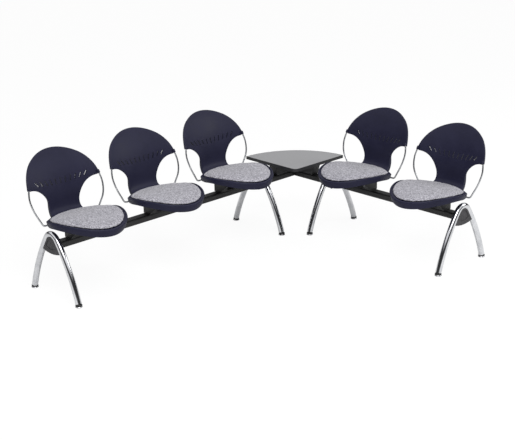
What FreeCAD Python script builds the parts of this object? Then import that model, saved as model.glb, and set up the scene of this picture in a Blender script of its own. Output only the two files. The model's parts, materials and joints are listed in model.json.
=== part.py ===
import FreeCAD, Part

import math
import os

from FreeCAD import Vector

# Beam seating in an L: three seats on the left beam, two on the right, a quarter-round table in the corner.
# All sizes are in millimetres, with +Z up and the floor at Z 0.
# While it is modelled, the beams' centre lines cross at X 0, Y 0: the left beam runs along -X with its seats
# facing -Y, and the right beam runs along -Y with its seats facing -X.
# At the end everything moves together, so that the origin is under the middle of the whole object.

# Layout
SEATS_LEFT = 3
SEATS_RIGHT = 2
SEAT_PITCH = 580.0
CORNER_TO_SEAT = 648.0
SEAT_TO_END_LEG = 164.0
CORNER_TO_INNER_LEG = 346.0
SEAT_GAP = 0.3                  # between pieces that are seated on one another
ROUND_GAP = 0.2                 # round a tube or rod that is held in a seat

# Beam
BEAM_TOP_Z = 332.0
BEAM_WIDTH = 60.0
BEAM_HEIGHT = 40.0
BEAM_WALL = 3.0
BEAM_CORNER_R = 8.0
INSERT_ARM = 130.0              # of the corner insert, from the crossing
INSERT_WALL = 5.0

# Legs
LEG_TUBE_D = 36.0
LEG_TUBE_WALL = 2.0
LEG_RISE = 50.0                 # of the apex centre line above the beam's top
LEG_APEX_R = 60.0
LEG_APEX_TURN = 55.0            # degrees from the crest to each side
LEG_HALF_SPREAD = 221.0         # of the centre line at the floor

# Levelling feet
FOOT_TUBE_END_Z = 14.0
PLUG_FLANGE_D = 40.0
PLUG_FLANGE_H = 4.0
PLUG_TOP_Z = 42.0
GLIDE_D = 42.0
GLIDE_PAD_H = 7.0
GLIDE_COLLAR_D = 16.0
GLIDE_STEM_D = 10.0
GLIDE_STEM_TOP_Z = 37.0
GLIDE_RUNNING_GAP = 0.06

# End bracket
END_BRACKET_T = 26.0
END_BRACKET_SHOULDER_DROP = 47.0    # where it leaves the tube, below the beam's top
END_BRACKET_KEEL_DROP = 64.0        # its lowest point, below the beam's top
END_BRACKET_BORDER = 7.0
END_BRACKET_RECESS = 3.0
SPIGOT_LENGTH = 70.0

# Inner leg clamp
CLAMP_LENGTH = 78.0             # along the beam
CLAMP_BOLT_U = 27.0
CLAMP_BOLT_V = 37.0
CLAMP_WIDTH = 94.0              # across the beam
SADDLE_BASE_T = 8.0
SADDLE_WIDTH = 50.0
STRAP_T = 8.0
CLAMP_BOLT_D = 8.0
CLAMP_CORNER = 5.0

# Seat shell, from the beam's centre line, with the seat's own heights
PAN_TOP_Z = 483.0
SHELL_T = 4.5
PAN_DISH = 3.0
RIM_BORDER = 16.0
RIM_GAP = 4.0
RIM_RISE = 5.0
SKIRT_DEPTH_REAR = 27.0
SKIRT_DEPTH_FRONT = 40.0
SKIRT_TAPER = 8.0
SKIRT_WALL = 4.0
BACK_RISE = 337.0               # of the back's top above the pan
BACK_TIP_RISE = 157.0
BACK_HALF_WIDTH = 248.0
BACK_DISH_R = 707.0
BACK_CREST_TURN = 30.0          # degrees that the crest arc turns from the middle
BACK_TIP_TURN = 84.0            # degrees that both arcs turn by the tip
BACK_RIM_WIDTH = 9.0
BACK_RIM_DEPTH = 12.0
SCOOP_R = 134.0
SCOOP_CENTRE_U = 238.0
SCOOP_CENTRE_RISE = 17.0
TIP_FOOT = 30.0                 # width of the flat under each tip
WALL_SPREAD = 262.0             # half width of the untrimmed shell

# Slots in the back
SLOTS_EACH_SIDE = 5
SLOT_PITCH = 33.5
SLOT_LENGTH = 38.0
SLOT_WIDTH = 9.0
SLOT_FAN = 8.0                  # degrees from each slot to the next
SLOT_ROW_RISE = 157.0
SLOT_ROW_LIFT = 13.0            # of the outermost slots above the middle one

# Pad
PAD_REAR = 65.0                 # behind the beam's centre line
PAD_FRONT = 365.0
PAD_CORNER = (175.0, 0.0)       # sideways, forwards
PAD_WIDEST = (208.0, 110.0)
PAD_SHOULDER = (184.0, 215.0)
PAD_NOSE = (114.0, 316.0)
PAD_DEPTH = 11.0                # at its edge, above the pan
PAD_CROWN = 12.0
PAD_SIDE_BULGE = 3.0

# Back rod
ROD_D = 10.0
ROD_CROSS_V = -38.0
ROD_BEND_R = 24.0
ROD_SOCKET_DEPTH = 16.0
SOCKET_WALL = 3.5

# Seat bracket
PLATE_T = 3.0
SEAT_PLATE_HALF_WIDTH = 96.0
SEAT_PLATE_REAR = 46.0
SEAT_PLATE_FRONT = 150.0
BRACKET_WEB_U = 55.0
BRACKET_LIP = 10.0
BOSS_D = 20.0
BOSS_U = 76.0
BOSS_REAR_V = -8.0
BOSS_FRONT_V = 128.0
SCREW_D = 6.0
SCREW_HEAD_D = 11.0
SCREW_HEAD_H = 3.5
BOLT_D = 8.0
BOLT_HEAD_D = 14.0
BOLT_HEAD_H = 5.0
BRACKET_BOLT_U = 30.0
CLIP_U = 76.0
CLIP_WIDTH = 14.0
CLIP_T = 2.0
CLIP_EAR = 20.0
SEAT_PLATE_CORNER = 12.0

# Small round pieces have few flat sides
PEG_SIDES = 6
BOSS_SIDES = 6
BEAM_CORNER_SPANS = 2
TABLE_SPANS = 16
TABLE_CORNER_SPANS = 4
ROD_SIDES = 10
LEG_SIDES = 16
BORE_SIDES = 8
GLIDE_SIDES = 16
STEM_SIDES = 12
SLOT_END_SIDES = 3
CREST_SPANS = 3
SHOULDER_SPANS = 3
SCOOP_SPANS = 5
DISH_SPANS = 6                  # across the shell's width
PAD_SPANS = 6                   # across the pad's crown
PLAN_STEPS = 2                  # of the plan outline's sides, for each span between its points
REAR_STEPS = 6                  # of its rear arc
LEG_APEX_SPANS = 4
GUSSET_SPANS = 3
KEEL_SPANS = 8
LEG_FOOT_SPANS = 3
ROD_BEND_SPANS = [1, 1, 3]      # from the socket down to the run under the seat

# Table
TABLE_TOP_Z = 461.0
TABLE_T = 20.0
TABLE_R = 452.0
TABLE_CORNER = 324.0            # of its inner corner from each beam's centre line
TABLE_CORNER_R = 30.0
TABLE_EDGE_T = 2.5
TABLE_BRACKET_IN = 50.0
TABLE_BRACKET_OUT = 190.0
TABLE_BRACKET_FLARE = 34.0
TABLE_PLATE_OVERHANG = 16.0
TABLE_PLATE_CORNER = 8.0

BEAM_BOTTOM_Z = BEAM_TOP_Z - BEAM_HEIGHT
BEAM_MID_Z = BEAM_TOP_Z - BEAM_HEIGHT / 2
HALF_BEAM = BEAM_WIDTH / 2
LEG_R = LEG_TUBE_D / 2
LEG_APEX_Z = BEAM_TOP_Z + LEG_RISE
ROD_R = ROD_D / 2
FAR = 1000.0                    # reach of cutting solids

# Along the pan from its rear to its front: (forwards, drop below its highest line).
PAN_LINE = ((-43.0, 23.5), (0.0, 21.0), (55.0, 13.5), (110.0, 3.0), (175.0, 0.0), (270.0, 5.0), (390.0, 24.0))
# Through the bend from the back's foot into the pan: (forwards, rise above the pan's highest line).
BEND_LINE = ((-94.0, 20.0), (-82.0, -8.0), (-66.0, -19.5))
# Heights above the pan where the back's line is taken.
BACK_STATIONS = (352.0, 245.0, 140.0, 75.0)
# Shares of the pad's length where its sections are taken.
PAD_STATIONS = (0.006, 0.05, 0.12, 0.25, 0.45, 0.65, 0.82, 0.93, 0.994)

parts = {}


def seat_point(u, v, z):
    """A point in a seat's own frame: u sideways, v forwards of the beam's centre line, z up."""
    return Vector(u, -v, z)


def back_v(rise):
    """How far forward the middle of the back is at a height above the pan: it leans and curls rearwards."""
    h = rise - BACK_TIP_RISE
    return -113.4 - 0.307 * h - 0.001246 * h * h


def spine_points():
    """The middle line of the shell's front face, from above the back's top to beyond the pan's front."""
    back = [(back_v(rise), PAN_TOP_Z + rise) for rise in BACK_STATIONS]
    bend = [(v, PAN_TOP_Z + rise) for v, rise in BEND_LINE]
    pan = [(v, PAN_TOP_Z - drop) for v, drop in PAN_LINE]
    return back + bend + pan


def spline(points):
    curve = Part.BSplineCurve()
    curve.interpolate(points)
    return curve


def pan_z(v):
    """Height of the pan's middle line at a distance forwards."""
    line = spline([Vector(a, 0, z) for a, z in spine_points()])
    hits = line.intersectCC(Part.LineSegment(Vector(v, 0, 0), Vector(v, 0, FAR)))
    return min(hit.Z for hit in hits)


def box(low, high):
    return Part.makeBox(high[0] - low[0], high[1] - low[1], high[2] - low[2], Vector(*low))


def cylinder(radius, start, end):
    axis = end - start
    return Part.makeCylinder(radius, axis.Length, start, axis)


def polygon(corners):
    return Part.Face(Part.makePolygon(list(corners) + [corners[0]]))


def prism(corners, direction):
    """Extrude the polygon through the corners."""
    return polygon(corners).extrude(direction)


def facets(a, b, c, d):
    """The flat face through four corners, or two triangles where they don't lie in one plane."""
    normal = (b - a).cross(c - a)
    if abs(normal.normalize().dot(d - a)) < 1e-6:
        return [polygon([a, b, c, d])]
    return [polygon([a, b, c]), polygon([a, c, d])]


def flat_loft(sections):
    """A solid through closed sections with as many corners each, in flat facets."""
    faces = [polygon(sections[0]), polygon(sections[-1])]
    for near, far in zip(sections, sections[1:]):
        for i in range(len(near)):
            faces += facets(near[i - 1], near[i], far[i], far[i - 1])
    solid = Part.Solid(Part.Shell(faces))
    if solid.Volume < 0:
        solid.reverse()
    return solid
def ring(centre, axis, across, radius, sides):
    """Corners of a regular polygon square to an axis, with a flat facing the direction across."""
    first = axis.cross(across).normalize()
    second = axis.cross(first).normalize()
    corners = []
    for i in range(sides):
        turn = 2 * math.pi * (i + 0.5) / sides
        corners.append(centre + first * (radius * math.cos(turn)) + second * (radius * math.sin(turn)))
    return corners
def peg(radius, start, end, sides=PEG_SIDES):
    """A straight bar or bore with flat sides, for screws, holes and other small round pieces."""
    axis = end - start
    across = Vector(0, 1, 0) if abs(axis.y) < 0.5 * axis.Length else Vector(1, 0, 0)
    return prism(ring(start, axis, across, radius, sides), axis)


def ring_loft(stations, across, radius, sides):
    """A bar of flat-sided rings along stations, each a point and a direction."""
    return flat_loft([ring(point, along, across, radius, sides) for point, along in stations])


def bent_stations(points, bends, spans):
    """Points and directions along a polyline whose inner corners are arcs of given radii and spans."""
    stations = [(points[0], (points[1] - points[0]).normalize())]
    for before, here, after, bend, count in zip(points[:-2], points[1:-1], points[2:], bends, spans):
        back = (before - here).normalize()
        ahead = (after - here).normalize()
        half = back.getAngle(ahead) / 2
        centre = here + (back + ahead).normalize() * (bend / math.sin(half))
        start = here + back * (bend / math.tan(half))
        hinge = (back * -1).cross(ahead)
        for i in range(count + 1):
            turn = FreeCAD.Rotation(hinge, (180 - 2 * math.degrees(half)) * i / count)
            stations.append((centre + turn.multVec(start - centre), turn.multVec(back * -1)))
    stations.append((points[-1], (points[-1] - points[-2]).normalize()))
    return stations


# Seat shell

def chords(half_width, sag, spans):
    """Points across a shallow arc: (sideways, rise above its middle)."""
    return [(half_width * (2 * i / spans - 1), sag * (2 * i / spans - 1) ** 2) for i in range(spans + 1)]


def shell_section(v, z, tangent, front, rear):
    """One cross-section of the shell, square to its middle line, between two depths behind its front face."""
    normal = Vector(0, tangent[1], tangent[0]).normalize()
    steep = abs(normal.y)
    dish = PAN_DISH + (WALL_SPREAD ** 2 / (2 * BACK_DISH_R) - PAN_DISH) * steep ** 3
    face = [seat_point(u, v, z) + normal * rise for u, rise in chords(WALL_SPREAD, dish, DISH_SPANS)]
    return [p - normal * front for p in face] + [p - normal * rear for p in face[::-1]]


def shell_wall(front, rear):
    """The untrimmed back and pan in one curved slab, between two depths behind the front face."""
    points = spine_points()
    curve = spline([Vector(v, z, 0) for v, z in points])
    sections = []
    for v, z in points:
        tangent = curve.tangent(curve.parameter(Vector(v, z, 0)))[0]
        sections.append(shell_section(v, z, (tangent.x, tangent.y), front, rear))
    return flat_loft(sections)


def back_arcs():
    """Radii of the crest arc and the shoulder arc, from the back's height, width and turns."""
    first = math.radians(BACK_CREST_TURN)
    last = math.radians(BACK_TIP_TURN)
    drop = BACK_RISE - BACK_TIP_RISE
    a1 = math.sin(first)
    b1 = math.sin(last) - math.sin(first)
    a2 = 1 - math.cos(first)
    b2 = math.cos(first) - math.cos(last)
    shoulder = (drop * a1 - BACK_HALF_WIDTH * a2) / (b2 * a1 - b1 * a2)
    crest = (BACK_HALF_WIDTH - b1 * shoulder) / a1
    return crest, shoulder


def arc_points(centre, radius, start, end, spans):
    """Points on an arc about a centre, by the angle from straight up, without its last one."""
    points = []
    for i in range(spans):
        turn = start + (end - start) * i / spans
        points.append((centre[0] + radius * math.sin(turn), centre[1] + radius * math.cos(turn)))
    return points


def back_outline(inset, foot_z):
    """The back seen from the front, shrunk by an inset, down to a height in the pan."""
    crest, shoulder = back_arcs()
    first = math.radians(BACK_CREST_TURN)
    top = PAN_TOP_Z + BACK_RISE
    crest_c = (0.0, top - crest)
    shoulder_c = ((crest - shoulder) * math.sin(first), crest_c[1] + (crest - shoulder) * math.cos(first))
    scoop_c = (SCOOP_CENTRE_U, PAN_TOP_Z + SCOOP_CENTRE_RISE)
    scoop = SCOOP_R + inset
    tip_turn = math.acos((PAN_TOP_Z + BACK_TIP_RISE - 2 + inset - shoulder_c[1]) / (shoulder - inset))
    heel_turn = math.asin((BACK_HALF_WIDTH - TIP_FOOT / 2 - 2 - scoop_c[0]) / scoop)
    foot_turn = -math.acos((foot_z - scoop_c[1]) / scoop)
    tip = (shoulder_c[0] + (shoulder - inset) * math.sin(tip_turn), shoulder_c[1] + (shoulder - inset) * math.cos(tip_turn))
    foot = (scoop_c[0] + scoop * math.sin(foot_turn), foot_z)
    half = arc_points(crest_c, crest - inset, 0, first, CREST_SPANS)
    half += arc_points(shoulder_c, shoulder - inset, first, tip_turn, SHOULDER_SPANS) + [tip]
    half += arc_points(scoop_c, scoop, heel_turn, foot_turn, SCOOP_SPANS) + [foot]
    right = [Vector(u, 0, z) for u, z in half]
    left = [Vector(-u, 0, z) for u, z in half[:0:-1]]
    return polygon(right + left)


def pad_outline_points():
    """Half of the pad's outline in plan, from its rear corner to the middle of its front."""
    return [PAD_CORNER, PAD_WIDEST, PAD_SHOULDER, PAD_NOSE, (0.0, PAD_FRONT)]


def rear_arc_radius():
    return (PAD_CORNER[0] ** 2 + (PAD_REAR + PAD_CORNER[1]) ** 2) / (2 * (PAD_REAR + PAD_CORNER[1]))


def plan_outline(offset, z):
    """Corners of the pad's outline in plan, grown by an offset, at a height."""
    half = pad_outline_points()
    curve = spline([seat_point(u, v, z) for u, v in half] + [seat_point(-u, v, z) for u, v in half[-2::-1]])
    grown = []
    steps = PLAN_STEPS * 2 * (len(half) - 1)
    for i in range(steps + 1):
        t = curve.FirstParameter + (curve.LastParameter - curve.FirstParameter) * i / steps
        along = curve.tangent(t)[0]
        grown.append(curve.value(t) + Vector(0, 0, 1).cross(along).normalize() * offset)
    radius = rear_arc_radius() + offset
    centre_v = rear_arc_radius() - PAD_REAR
    corner_turn = math.asin(PAD_CORNER[0] / rear_arc_radius())
    rear = []
    for i in range(REAR_STEPS + 1):
        turn = corner_turn * (2 * i / REAR_STEPS - 1)
        rear.append(seat_point(radius * math.sin(turn), centre_v - radius * math.cos(turn), z))
    return rear + grown[1:-1]


def plan_loft(offset):
    """A tapering solid over the pad's outline grown by an offset, across the pan's whole height."""
    top = PAN_TOP_Z + 2 * RIM_RISE
    bottom = PAN_TOP_Z - 2 * SKIRT_DEPTH_FRONT
    taper = SKIRT_TAPER * (top - bottom) / SKIRT_DEPTH_FRONT / 2
    return flat_loft([plan_outline(offset, top), plan_outline(offset - taper, bottom)])


def pan_band(rise, depth_rear, depth_front):
    """Everything between two lines that follow the pan: a rise above it, and a depth below it."""
    line = [(v, PAN_TOP_Z + bend) for v, bend in BEND_LINE[1:]]
    line += [(v, PAN_TOP_Z - drop) for v, drop in PAN_LINE]
    upper = [Vector(-FAR, -v, z + rise) for v, z in line]
    span = line[-1][0] - line[0][0]
    lower = []
    for v, z in line[::-1]:
        share = (v - line[0][0]) / span
        floor_z = min(z, PAN_TOP_Z - PAN_LINE[0][1]) if v < PAN_LINE[0][0] else z
        lower.append(Vector(-FAR, -v, floor_z - depth_rear - (depth_front - depth_rear) * share ** 2))
    return prism(upper + lower, Vector(2 * FAR, 0, 0))


def slot_cutters():
    """The row of slots, fanned out from the middle, with three-sided ends."""
    cutters = []
    for i in range(-SLOTS_EACH_SIDE, SLOTS_EACH_SIDE + 1):
        share = i / SLOTS_EACH_SIDE
        middle = Vector(i * SLOT_PITCH, 0, PAN_TOP_Z + SLOT_ROW_RISE + SLOT_ROW_LIFT * share ** 2)
        lean = math.radians(SLOT_FAN * i)
        along = Vector(math.sin(lean), 0, math.cos(lean))
        across = Vector(math.cos(lean), 0, -math.sin(lean))
        corners = []
        for end in (1, -1):
            hub = middle + along * (end * (SLOT_LENGTH - SLOT_WIDTH) / 2)
            for k in range(SLOT_END_SIDES + 1):
                turn = math.pi * k / SLOT_END_SIDES
                reach = across * (end * math.cos(turn)) + along * (end * math.sin(turn))
                corners.append(hub + reach * (SLOT_WIDTH / 2))
        cutters.append(prism(corners, Vector(0, FAR, 0)))
    return cutters


def rod_points():
    """The right half of a back rod, from its top end in the socket to the middle under the pan."""
    cross_z = rod_cross_z()
    tip_z = PAN_TOP_Z + BACK_TIP_RISE
    spread = BACK_HALF_WIDTH
    return [
        seat_point(spread - 8.5, -78.0, tip_z + ROD_SOCKET_DEPTH),
        seat_point(spread + 7.5, -59.0, tip_z - 48),
        seat_point(spread - 5.0, ROD_CROSS_V, tip_z - 116),
        seat_point(spread - 60.0, ROD_CROSS_V, cross_z),
        seat_point(0, ROD_CROSS_V, cross_z)]


def rod_cross_z():
    """The rod crosses just under the skirt."""
    return PAN_TOP_Z - PAN_LINE[0][1] - SKIRT_DEPTH_REAR - 0.8 - ROD_R


def rod_solid(radius):
    """A back rod, or the bore for it, from socket to socket."""
    half = rod_points()
    mirrored = [Vector(-p.x, p.y, p.z) for p in half[:-1]]
    points = half[:-1] + mirrored[::-1]
    radii = []
    for before, here, after in zip(half[:-2], half[1:-1], half[2:]):
        turn = (here - before).getAngle(after - here)
        reach = 0.45 * min((here - before).Length, (after - here).Length)
        radii.append(reach / math.tan(turn / 2))
    radii[-1] = ROD_BEND_R
    stations = bent_stations(points, radii + radii[::-1], ROD_BEND_SPANS + ROD_BEND_SPANS[::-1])
    return ring_loft(stations, Vector(0, 1, 0), radius, ROD_SIDES)


def seat_plate_z():
    """Underside of the bracket's top plate: it rests on the rod."""
    return rod_cross_z() + ROD_R + SEAT_GAP


def boss_places():
    return [(side * BOSS_U, v) for side in (1, -1) for v in (BOSS_REAR_V, BOSS_FRONT_V)]


def seat_shell():
    neck_foot_z = PAN_TOP_Z - 34
    neck_reach = Vector(0, -BEND_LINE[1][0] + FAR, 0)
    back_front = Vector(0, -PAN_LINE[0][0], 0)
    back_prism = back_outline(0, neck_foot_z).translated(back_front).extrude(neck_reach)
    core_face = back_outline(BACK_RIM_WIDTH, neck_foot_z - BACK_RIM_WIDTH)
    core_prism = core_face.translated(Vector(0, -FAR, 0)).extrude(Vector(0, 2 * FAR, 0))
    outer = plan_loft(RIM_BORDER)
    inner = plan_loft(RIM_BORDER - SKIRT_WALL)
    block = shell_wall(0, BACK_RIM_DEPTH).common(back_prism.fuse(outer))
    pocket = shell_wall(SHELL_T, BACK_RIM_DEPTH + 10).common(core_prism.fuse(inner))
    shell = block.cut(pocket).cut(slot_cutters())
    skirt = pan_band(-1.5, SKIRT_DEPTH_REAR, SKIRT_DEPTH_FRONT).common(outer.cut(inner))
    neck_zone = box((-FAR, 25.0, 0), (FAR, FAR, FAR))
    bead = pan_band(RIM_RISE, 2.0, 2.0).common(outer.cut(plan_loft(RIM_GAP))).cut(neck_zone)
    shell = shell.fuse([skirt, bead])
    shell = shell.fuse(sockets() + bosses())
    return shell.cut(rod_solid(ROD_R + ROUND_GAP)).removeSplitter()


def sockets():
    top, below = rod_points()[0:2]
    along = (top - below).normalize()
    solids = []
    for side in (1, -1):
        start = Vector(side * top.x, top.y, top.z)
        axis = Vector(side * along.x, along.y, along.z)
        radius = ROD_R + ROUND_GAP + SOCKET_WALL
        base = start - axis * (ROD_SOCKET_DEPTH + 1)
        solids.append(peg(radius, base, start + axis * SOCKET_WALL, ROD_SIDES))
    return solids


def bosses():
    solids = []
    for u, v in boss_places():
        top = pan_z(v) - SHELL_T / 2
        foot = seat_point(u, v, seat_plate_z() + PLATE_T)
        solids.append(peg(BOSS_D / 2, foot, seat_point(u, v, top), BOSS_SIDES))
    return solids


# Pad

def pad_half_width(v):
    """Half the pad's width at a distance forwards, read off its outline in plan."""
    outline = polygon(plan_outline(0, 0)).OuterWire
    line = Part.LineSegment(seat_point(0, v, 0), seat_point(FAR, v, 0)).toShape()
    gaps = outline.distToShape(line)
    return max(pair[0].x for pair in gaps[1])


def pad_section(v, swell):
    """A cross-section of the pad: flat base, drawn-in sides and crowned top, whose edges stay parallel."""
    half = pad_half_width(v) - PAD_SIDE_BULGE
    crown = PAD_CROWN * half / PAD_WIDEST[0]
    low = pan_z(v) - SHELL_T
    high = low + (SHELL_T + PAD_DEPTH) * swell
    bulge = half + PAD_SIDE_BULGE * swell
    over = [seat_point(u, v, high + crown - rise) for u, rise in chords(half, crown, PAD_SPANS)]
    middle = (low + high) / 2
    corners = [seat_point(-half, v, low), seat_point(half, v, low), seat_point(bulge, v, middle)] + over[::-1]
    return corners + [seat_point(-bulge, v, middle)]


def seat_pad():
    rear = -PAD_REAR
    span = PAD_FRONT + PAD_REAR
    sections = []
    for share in PAD_STATIONS:
        swell = min(1.0, 0.7 + 3.0 * min(share, 1 - share))
        sections.append(pad_section(rear + span * share, swell))
    return flat_loft(sections).cut(shell_wall(-SEAT_GAP, 3 * SHELL_T))


# Seat bracket, clips and screws

def seat_bracket():
    under = seat_plate_z()
    top = under + PLATE_T
    plate = box((-SEAT_PLATE_HALF_WIDTH, -SEAT_PLATE_FRONT, under), (SEAT_PLATE_HALF_WIDTH, SEAT_PLATE_REAR, top))
    corners = [e for e in plate.Edges if abs(e.BoundBox.ZLength - PLATE_T) < 0.01]
    plate = plate.makeChamfer(SEAT_PLATE_CORNER, corners)
    lip = box((-BRACKET_WEB_U, -SEAT_PLATE_FRONT, under - BRACKET_LIP),
              (BRACKET_WEB_U, -SEAT_PLATE_FRONT + PLATE_T, under))
    web_rear_v = ROD_CROSS_V + ROD_R + 4
    web_front_v = SEAT_PLATE_FRONT - 12
    base = box((-BRACKET_WEB_U, -HALF_BEAM, BEAM_TOP_Z), (BRACKET_WEB_U, HALF_BEAM, BEAM_TOP_Z + PLATE_T))
    pieces = [lip, base]
    for side in (1, -1):
        u = side * BRACKET_WEB_U - (PLATE_T if side > 0 else 0)
        outline = [
            seat_point(u, -HALF_BEAM, BEAM_TOP_Z), seat_point(u, HALF_BEAM, BEAM_TOP_Z),
            seat_point(u, HALF_BEAM + 12, BEAM_TOP_Z + 14), seat_point(u, web_front_v, under - BRACKET_LIP),
            seat_point(u, web_front_v, under), seat_point(u, web_rear_v, under),
            seat_point(u, web_rear_v, under - 20), seat_point(u, -HALF_BEAM, BEAM_TOP_Z + 60)]
        pieces.append(prism(outline, Vector(PLATE_T, 0, 0)))
    bracket = plate.fuse(pieces)
    holes = []
    for u in (BRACKET_BOLT_U, -BRACKET_BOLT_U):
        holes.append(peg(BOLT_D / 2, seat_point(u, 0, BEAM_TOP_Z - 1), seat_point(u, 0, BEAM_TOP_Z + PLATE_T + 1)))
    return bracket.cut(holes).removeSplitter()


def bolt(u, v, head_z, length, shank, head_d, head_h, down):
    """A bolt or screw whose head stands on head_z, with its shank going down, or up if down is False."""
    sign = 1 if down else -1
    seat = seat_point(u, v, head_z)
    head = peg(head_d / 2, seat, seat_point(u, v, head_z + sign * head_h))
    start = seat_point(u, v, head_z + sign * 0.1)
    shaft = peg(shank / 2 - ROUND_GAP, start, seat_point(u, v, head_z - sign * length))
    return head.fuse(shaft).removeSplitter()


def seat_bolts():
    """The two bolts that hold one seat's bracket to the beam."""
    seat_z = BEAM_TOP_Z + PLATE_T
    places = (BRACKET_BOLT_U, -BRACKET_BOLT_U)
    return [bolt(u, 0, seat_z, 16.0, BOLT_D, BOLT_HEAD_D, BOLT_HEAD_H, True) for u in places]
def rod_clip(u):
    """A strap folded round the rod from below, with a hook behind it and an ear in front."""
    z = rod_cross_z()
    under = seat_plate_z()
    gap = ROD_R + ROUND_GAP
    outer = gap + CLIP_T
    start = u - CLIP_WIDTH / 2
    v = ROD_CROSS_V
    ear = v + CLIP_EAR
    corner = gap * 0.42
    outline = [
        (v - outer, under), (v - outer, z - corner), (v - corner, z - outer), (v + corner, z - outer),
        (v + outer, z - corner), (v + outer, under - CLIP_T), (ear, under - CLIP_T), (ear, under),
        (v + gap, under), (v + gap, z - corner), (v + corner, z - gap), (v - corner, z - gap),
        (v - gap, z - corner), (v - gap, under)]
    return prism([seat_point(start, a, b) for a, b in outline], Vector(CLIP_WIDTH, 0, 0))


# Beams

def beam_section(inset, x):
    """The beam's section, shrunk by an inset, with its corners rounded in two facets, as a face square to X."""
    half = HALF_BEAM - inset
    low = BEAM_BOTTOM_Z + inset
    high = BEAM_TOP_Z - inset
    bend = max(BEAM_CORNER_R - inset, 1.0)
    hubs = ((half - bend, high - bend), (-half + bend, high - bend), (-half + bend, low + bend), (half - bend, low + bend))
    corners = []
    for quarter, (y, z) in enumerate(hubs):
        for step in range(BEAM_CORNER_SPANS + 1):
            turn = math.radians(90 * (quarter + step / BEAM_CORNER_SPANS))
            corners.append(Vector(x, y + bend * math.cos(turn), z + bend * math.sin(turn)))
    return polygon(corners)


def beam_bar(inset, start_x, end_x):
    return beam_section(inset, start_x).extrude(Vector(end_x - start_x, 0, 0))


def corner_half_space():
    """Everything on the left beam's side of the mitre plane X = Y."""
    corners = [Vector(-FAR * 3, -FAR * 3, 0), Vector(FAR, FAR, 0), Vector(-FAR * 3, FAR, 0)]
    return prism(corners, Vector(0, 0, FAR))


def across_corner(shape):
    """The same piece on the other beam: a mirror image in the mitre plane."""
    return shape.mirror(Vector(0, 0, 0), Vector(1, -1, 0))


def end_leg_u(seats):
    return CORNER_TO_SEAT + SEAT_PITCH * (seats - 1) + SEAT_TO_END_LEG


def beam(seats):
    """A beam on the left side, from the end bracket to the mitre, with its screw holes."""
    start_x = -end_leg_u(seats) + END_BRACKET_T / 2 + SEAT_GAP
    tube = beam_bar(0, start_x, HALF_BEAM).cut(beam_bar(BEAM_WALL, start_x - 1, HALF_BEAM + 1))
    tube = tube.common(corner_half_space())
    holes = []
    for x in under_screw_places(seats):
        holes.append(peg(BOLT_D / 2, Vector(x, 0, BEAM_BOTTOM_Z - 1), Vector(x, 0, BEAM_BOTTOM_Z + BEAM_WALL + 1)))
    for x in top_bolt_places(seats):
        holes.append(peg(BOLT_D / 2, Vector(x, 0, BEAM_TOP_Z - BEAM_WALL - 1), Vector(x, 0, BEAM_TOP_Z + 1)))
    return tube.cut(holes)


def spigot_screws(seats):
    end = -end_leg_u(seats) + END_BRACKET_T / 2
    return [end + SPIGOT_LENGTH * 0.35, end + SPIGOT_LENGTH * 0.75]


def insert_screws():
    return [-INSERT_ARM * 0.55, -INSERT_ARM * 0.85]


def under_screw_places(seats):
    return spigot_screws(seats) + insert_screws()


def table_bolt_places():
    return [-INSERT_ARM - 12, -TABLE_BRACKET_OUT + 18]


def top_bolt_places(seats):
    places = []
    for i in range(seats):
        middle = -CORNER_TO_SEAT - SEAT_PITCH * i
        places += [middle - BRACKET_BOLT_U, middle + BRACKET_BOLT_U]
    return places + table_bolt_places()


def corner_insert():
    """A channel in an L that fits inside both beams."""
    inset = BEAM_WALL + SEAT_GAP
    arm = beam_bar(inset, -INSERT_ARM, HALF_BEAM).common(corner_half_space())
    hollow = beam_bar(inset + INSERT_WALL, -INSERT_ARM - 1, HALF_BEAM).common(corner_half_space())
    solid = arm.fuse(across_corner(arm)).cut(hollow.fuse(across_corner(hollow)))
    holes = []
    for x in insert_screws():
        top = BEAM_BOTTOM_Z + inset + INSERT_WALL + 1
        holes.append(peg(BOLT_D / 2, Vector(x, 0, BEAM_BOTTOM_Z), Vector(x, 0, top)))
    return solid.cut(holes + [across_corner(h) for h in holes]).removeSplitter()


def beam_screws(seats):
    """Screws up through the underside of a left-hand beam into the spigot and the insert."""
    places = under_screw_places(seats)
    return [bolt(x, 0, BEAM_BOTTOM_Z, 11.0, BOLT_D, BOLT_HEAD_D, SCREW_HEAD_H, False) for x in places]


# Legs

def leg_foot_arc():
    """Radius and centre of a leg's long arc, tangent to the apex arc and through the foot."""
    turn = math.radians(LEG_APEX_TURN)
    start = (LEG_APEX_R * math.sin(turn), LEG_APEX_Z - LEG_APEX_R * (1 - math.cos(turn)))
    reach = (LEG_HALF_SPREAD - start[0], -start[1])
    inward = (-math.sin(turn), -math.cos(turn))
    radius = (reach[0] ** 2 + reach[1] ** 2) / (2 * (reach[0] * inward[0] + reach[1] * inward[1]))
    centre = (start[0] + inward[0] * radius, start[1] + inward[1] * radius)
    return radius, centre, start


def leg_v(z):
    """Distance of a leg's centre line from the beam's, on the long arc at a height."""
    radius, centre, _ = leg_foot_arc()
    return centre[0] + math.sqrt(radius ** 2 - (z - centre[1]) ** 2)


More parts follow.
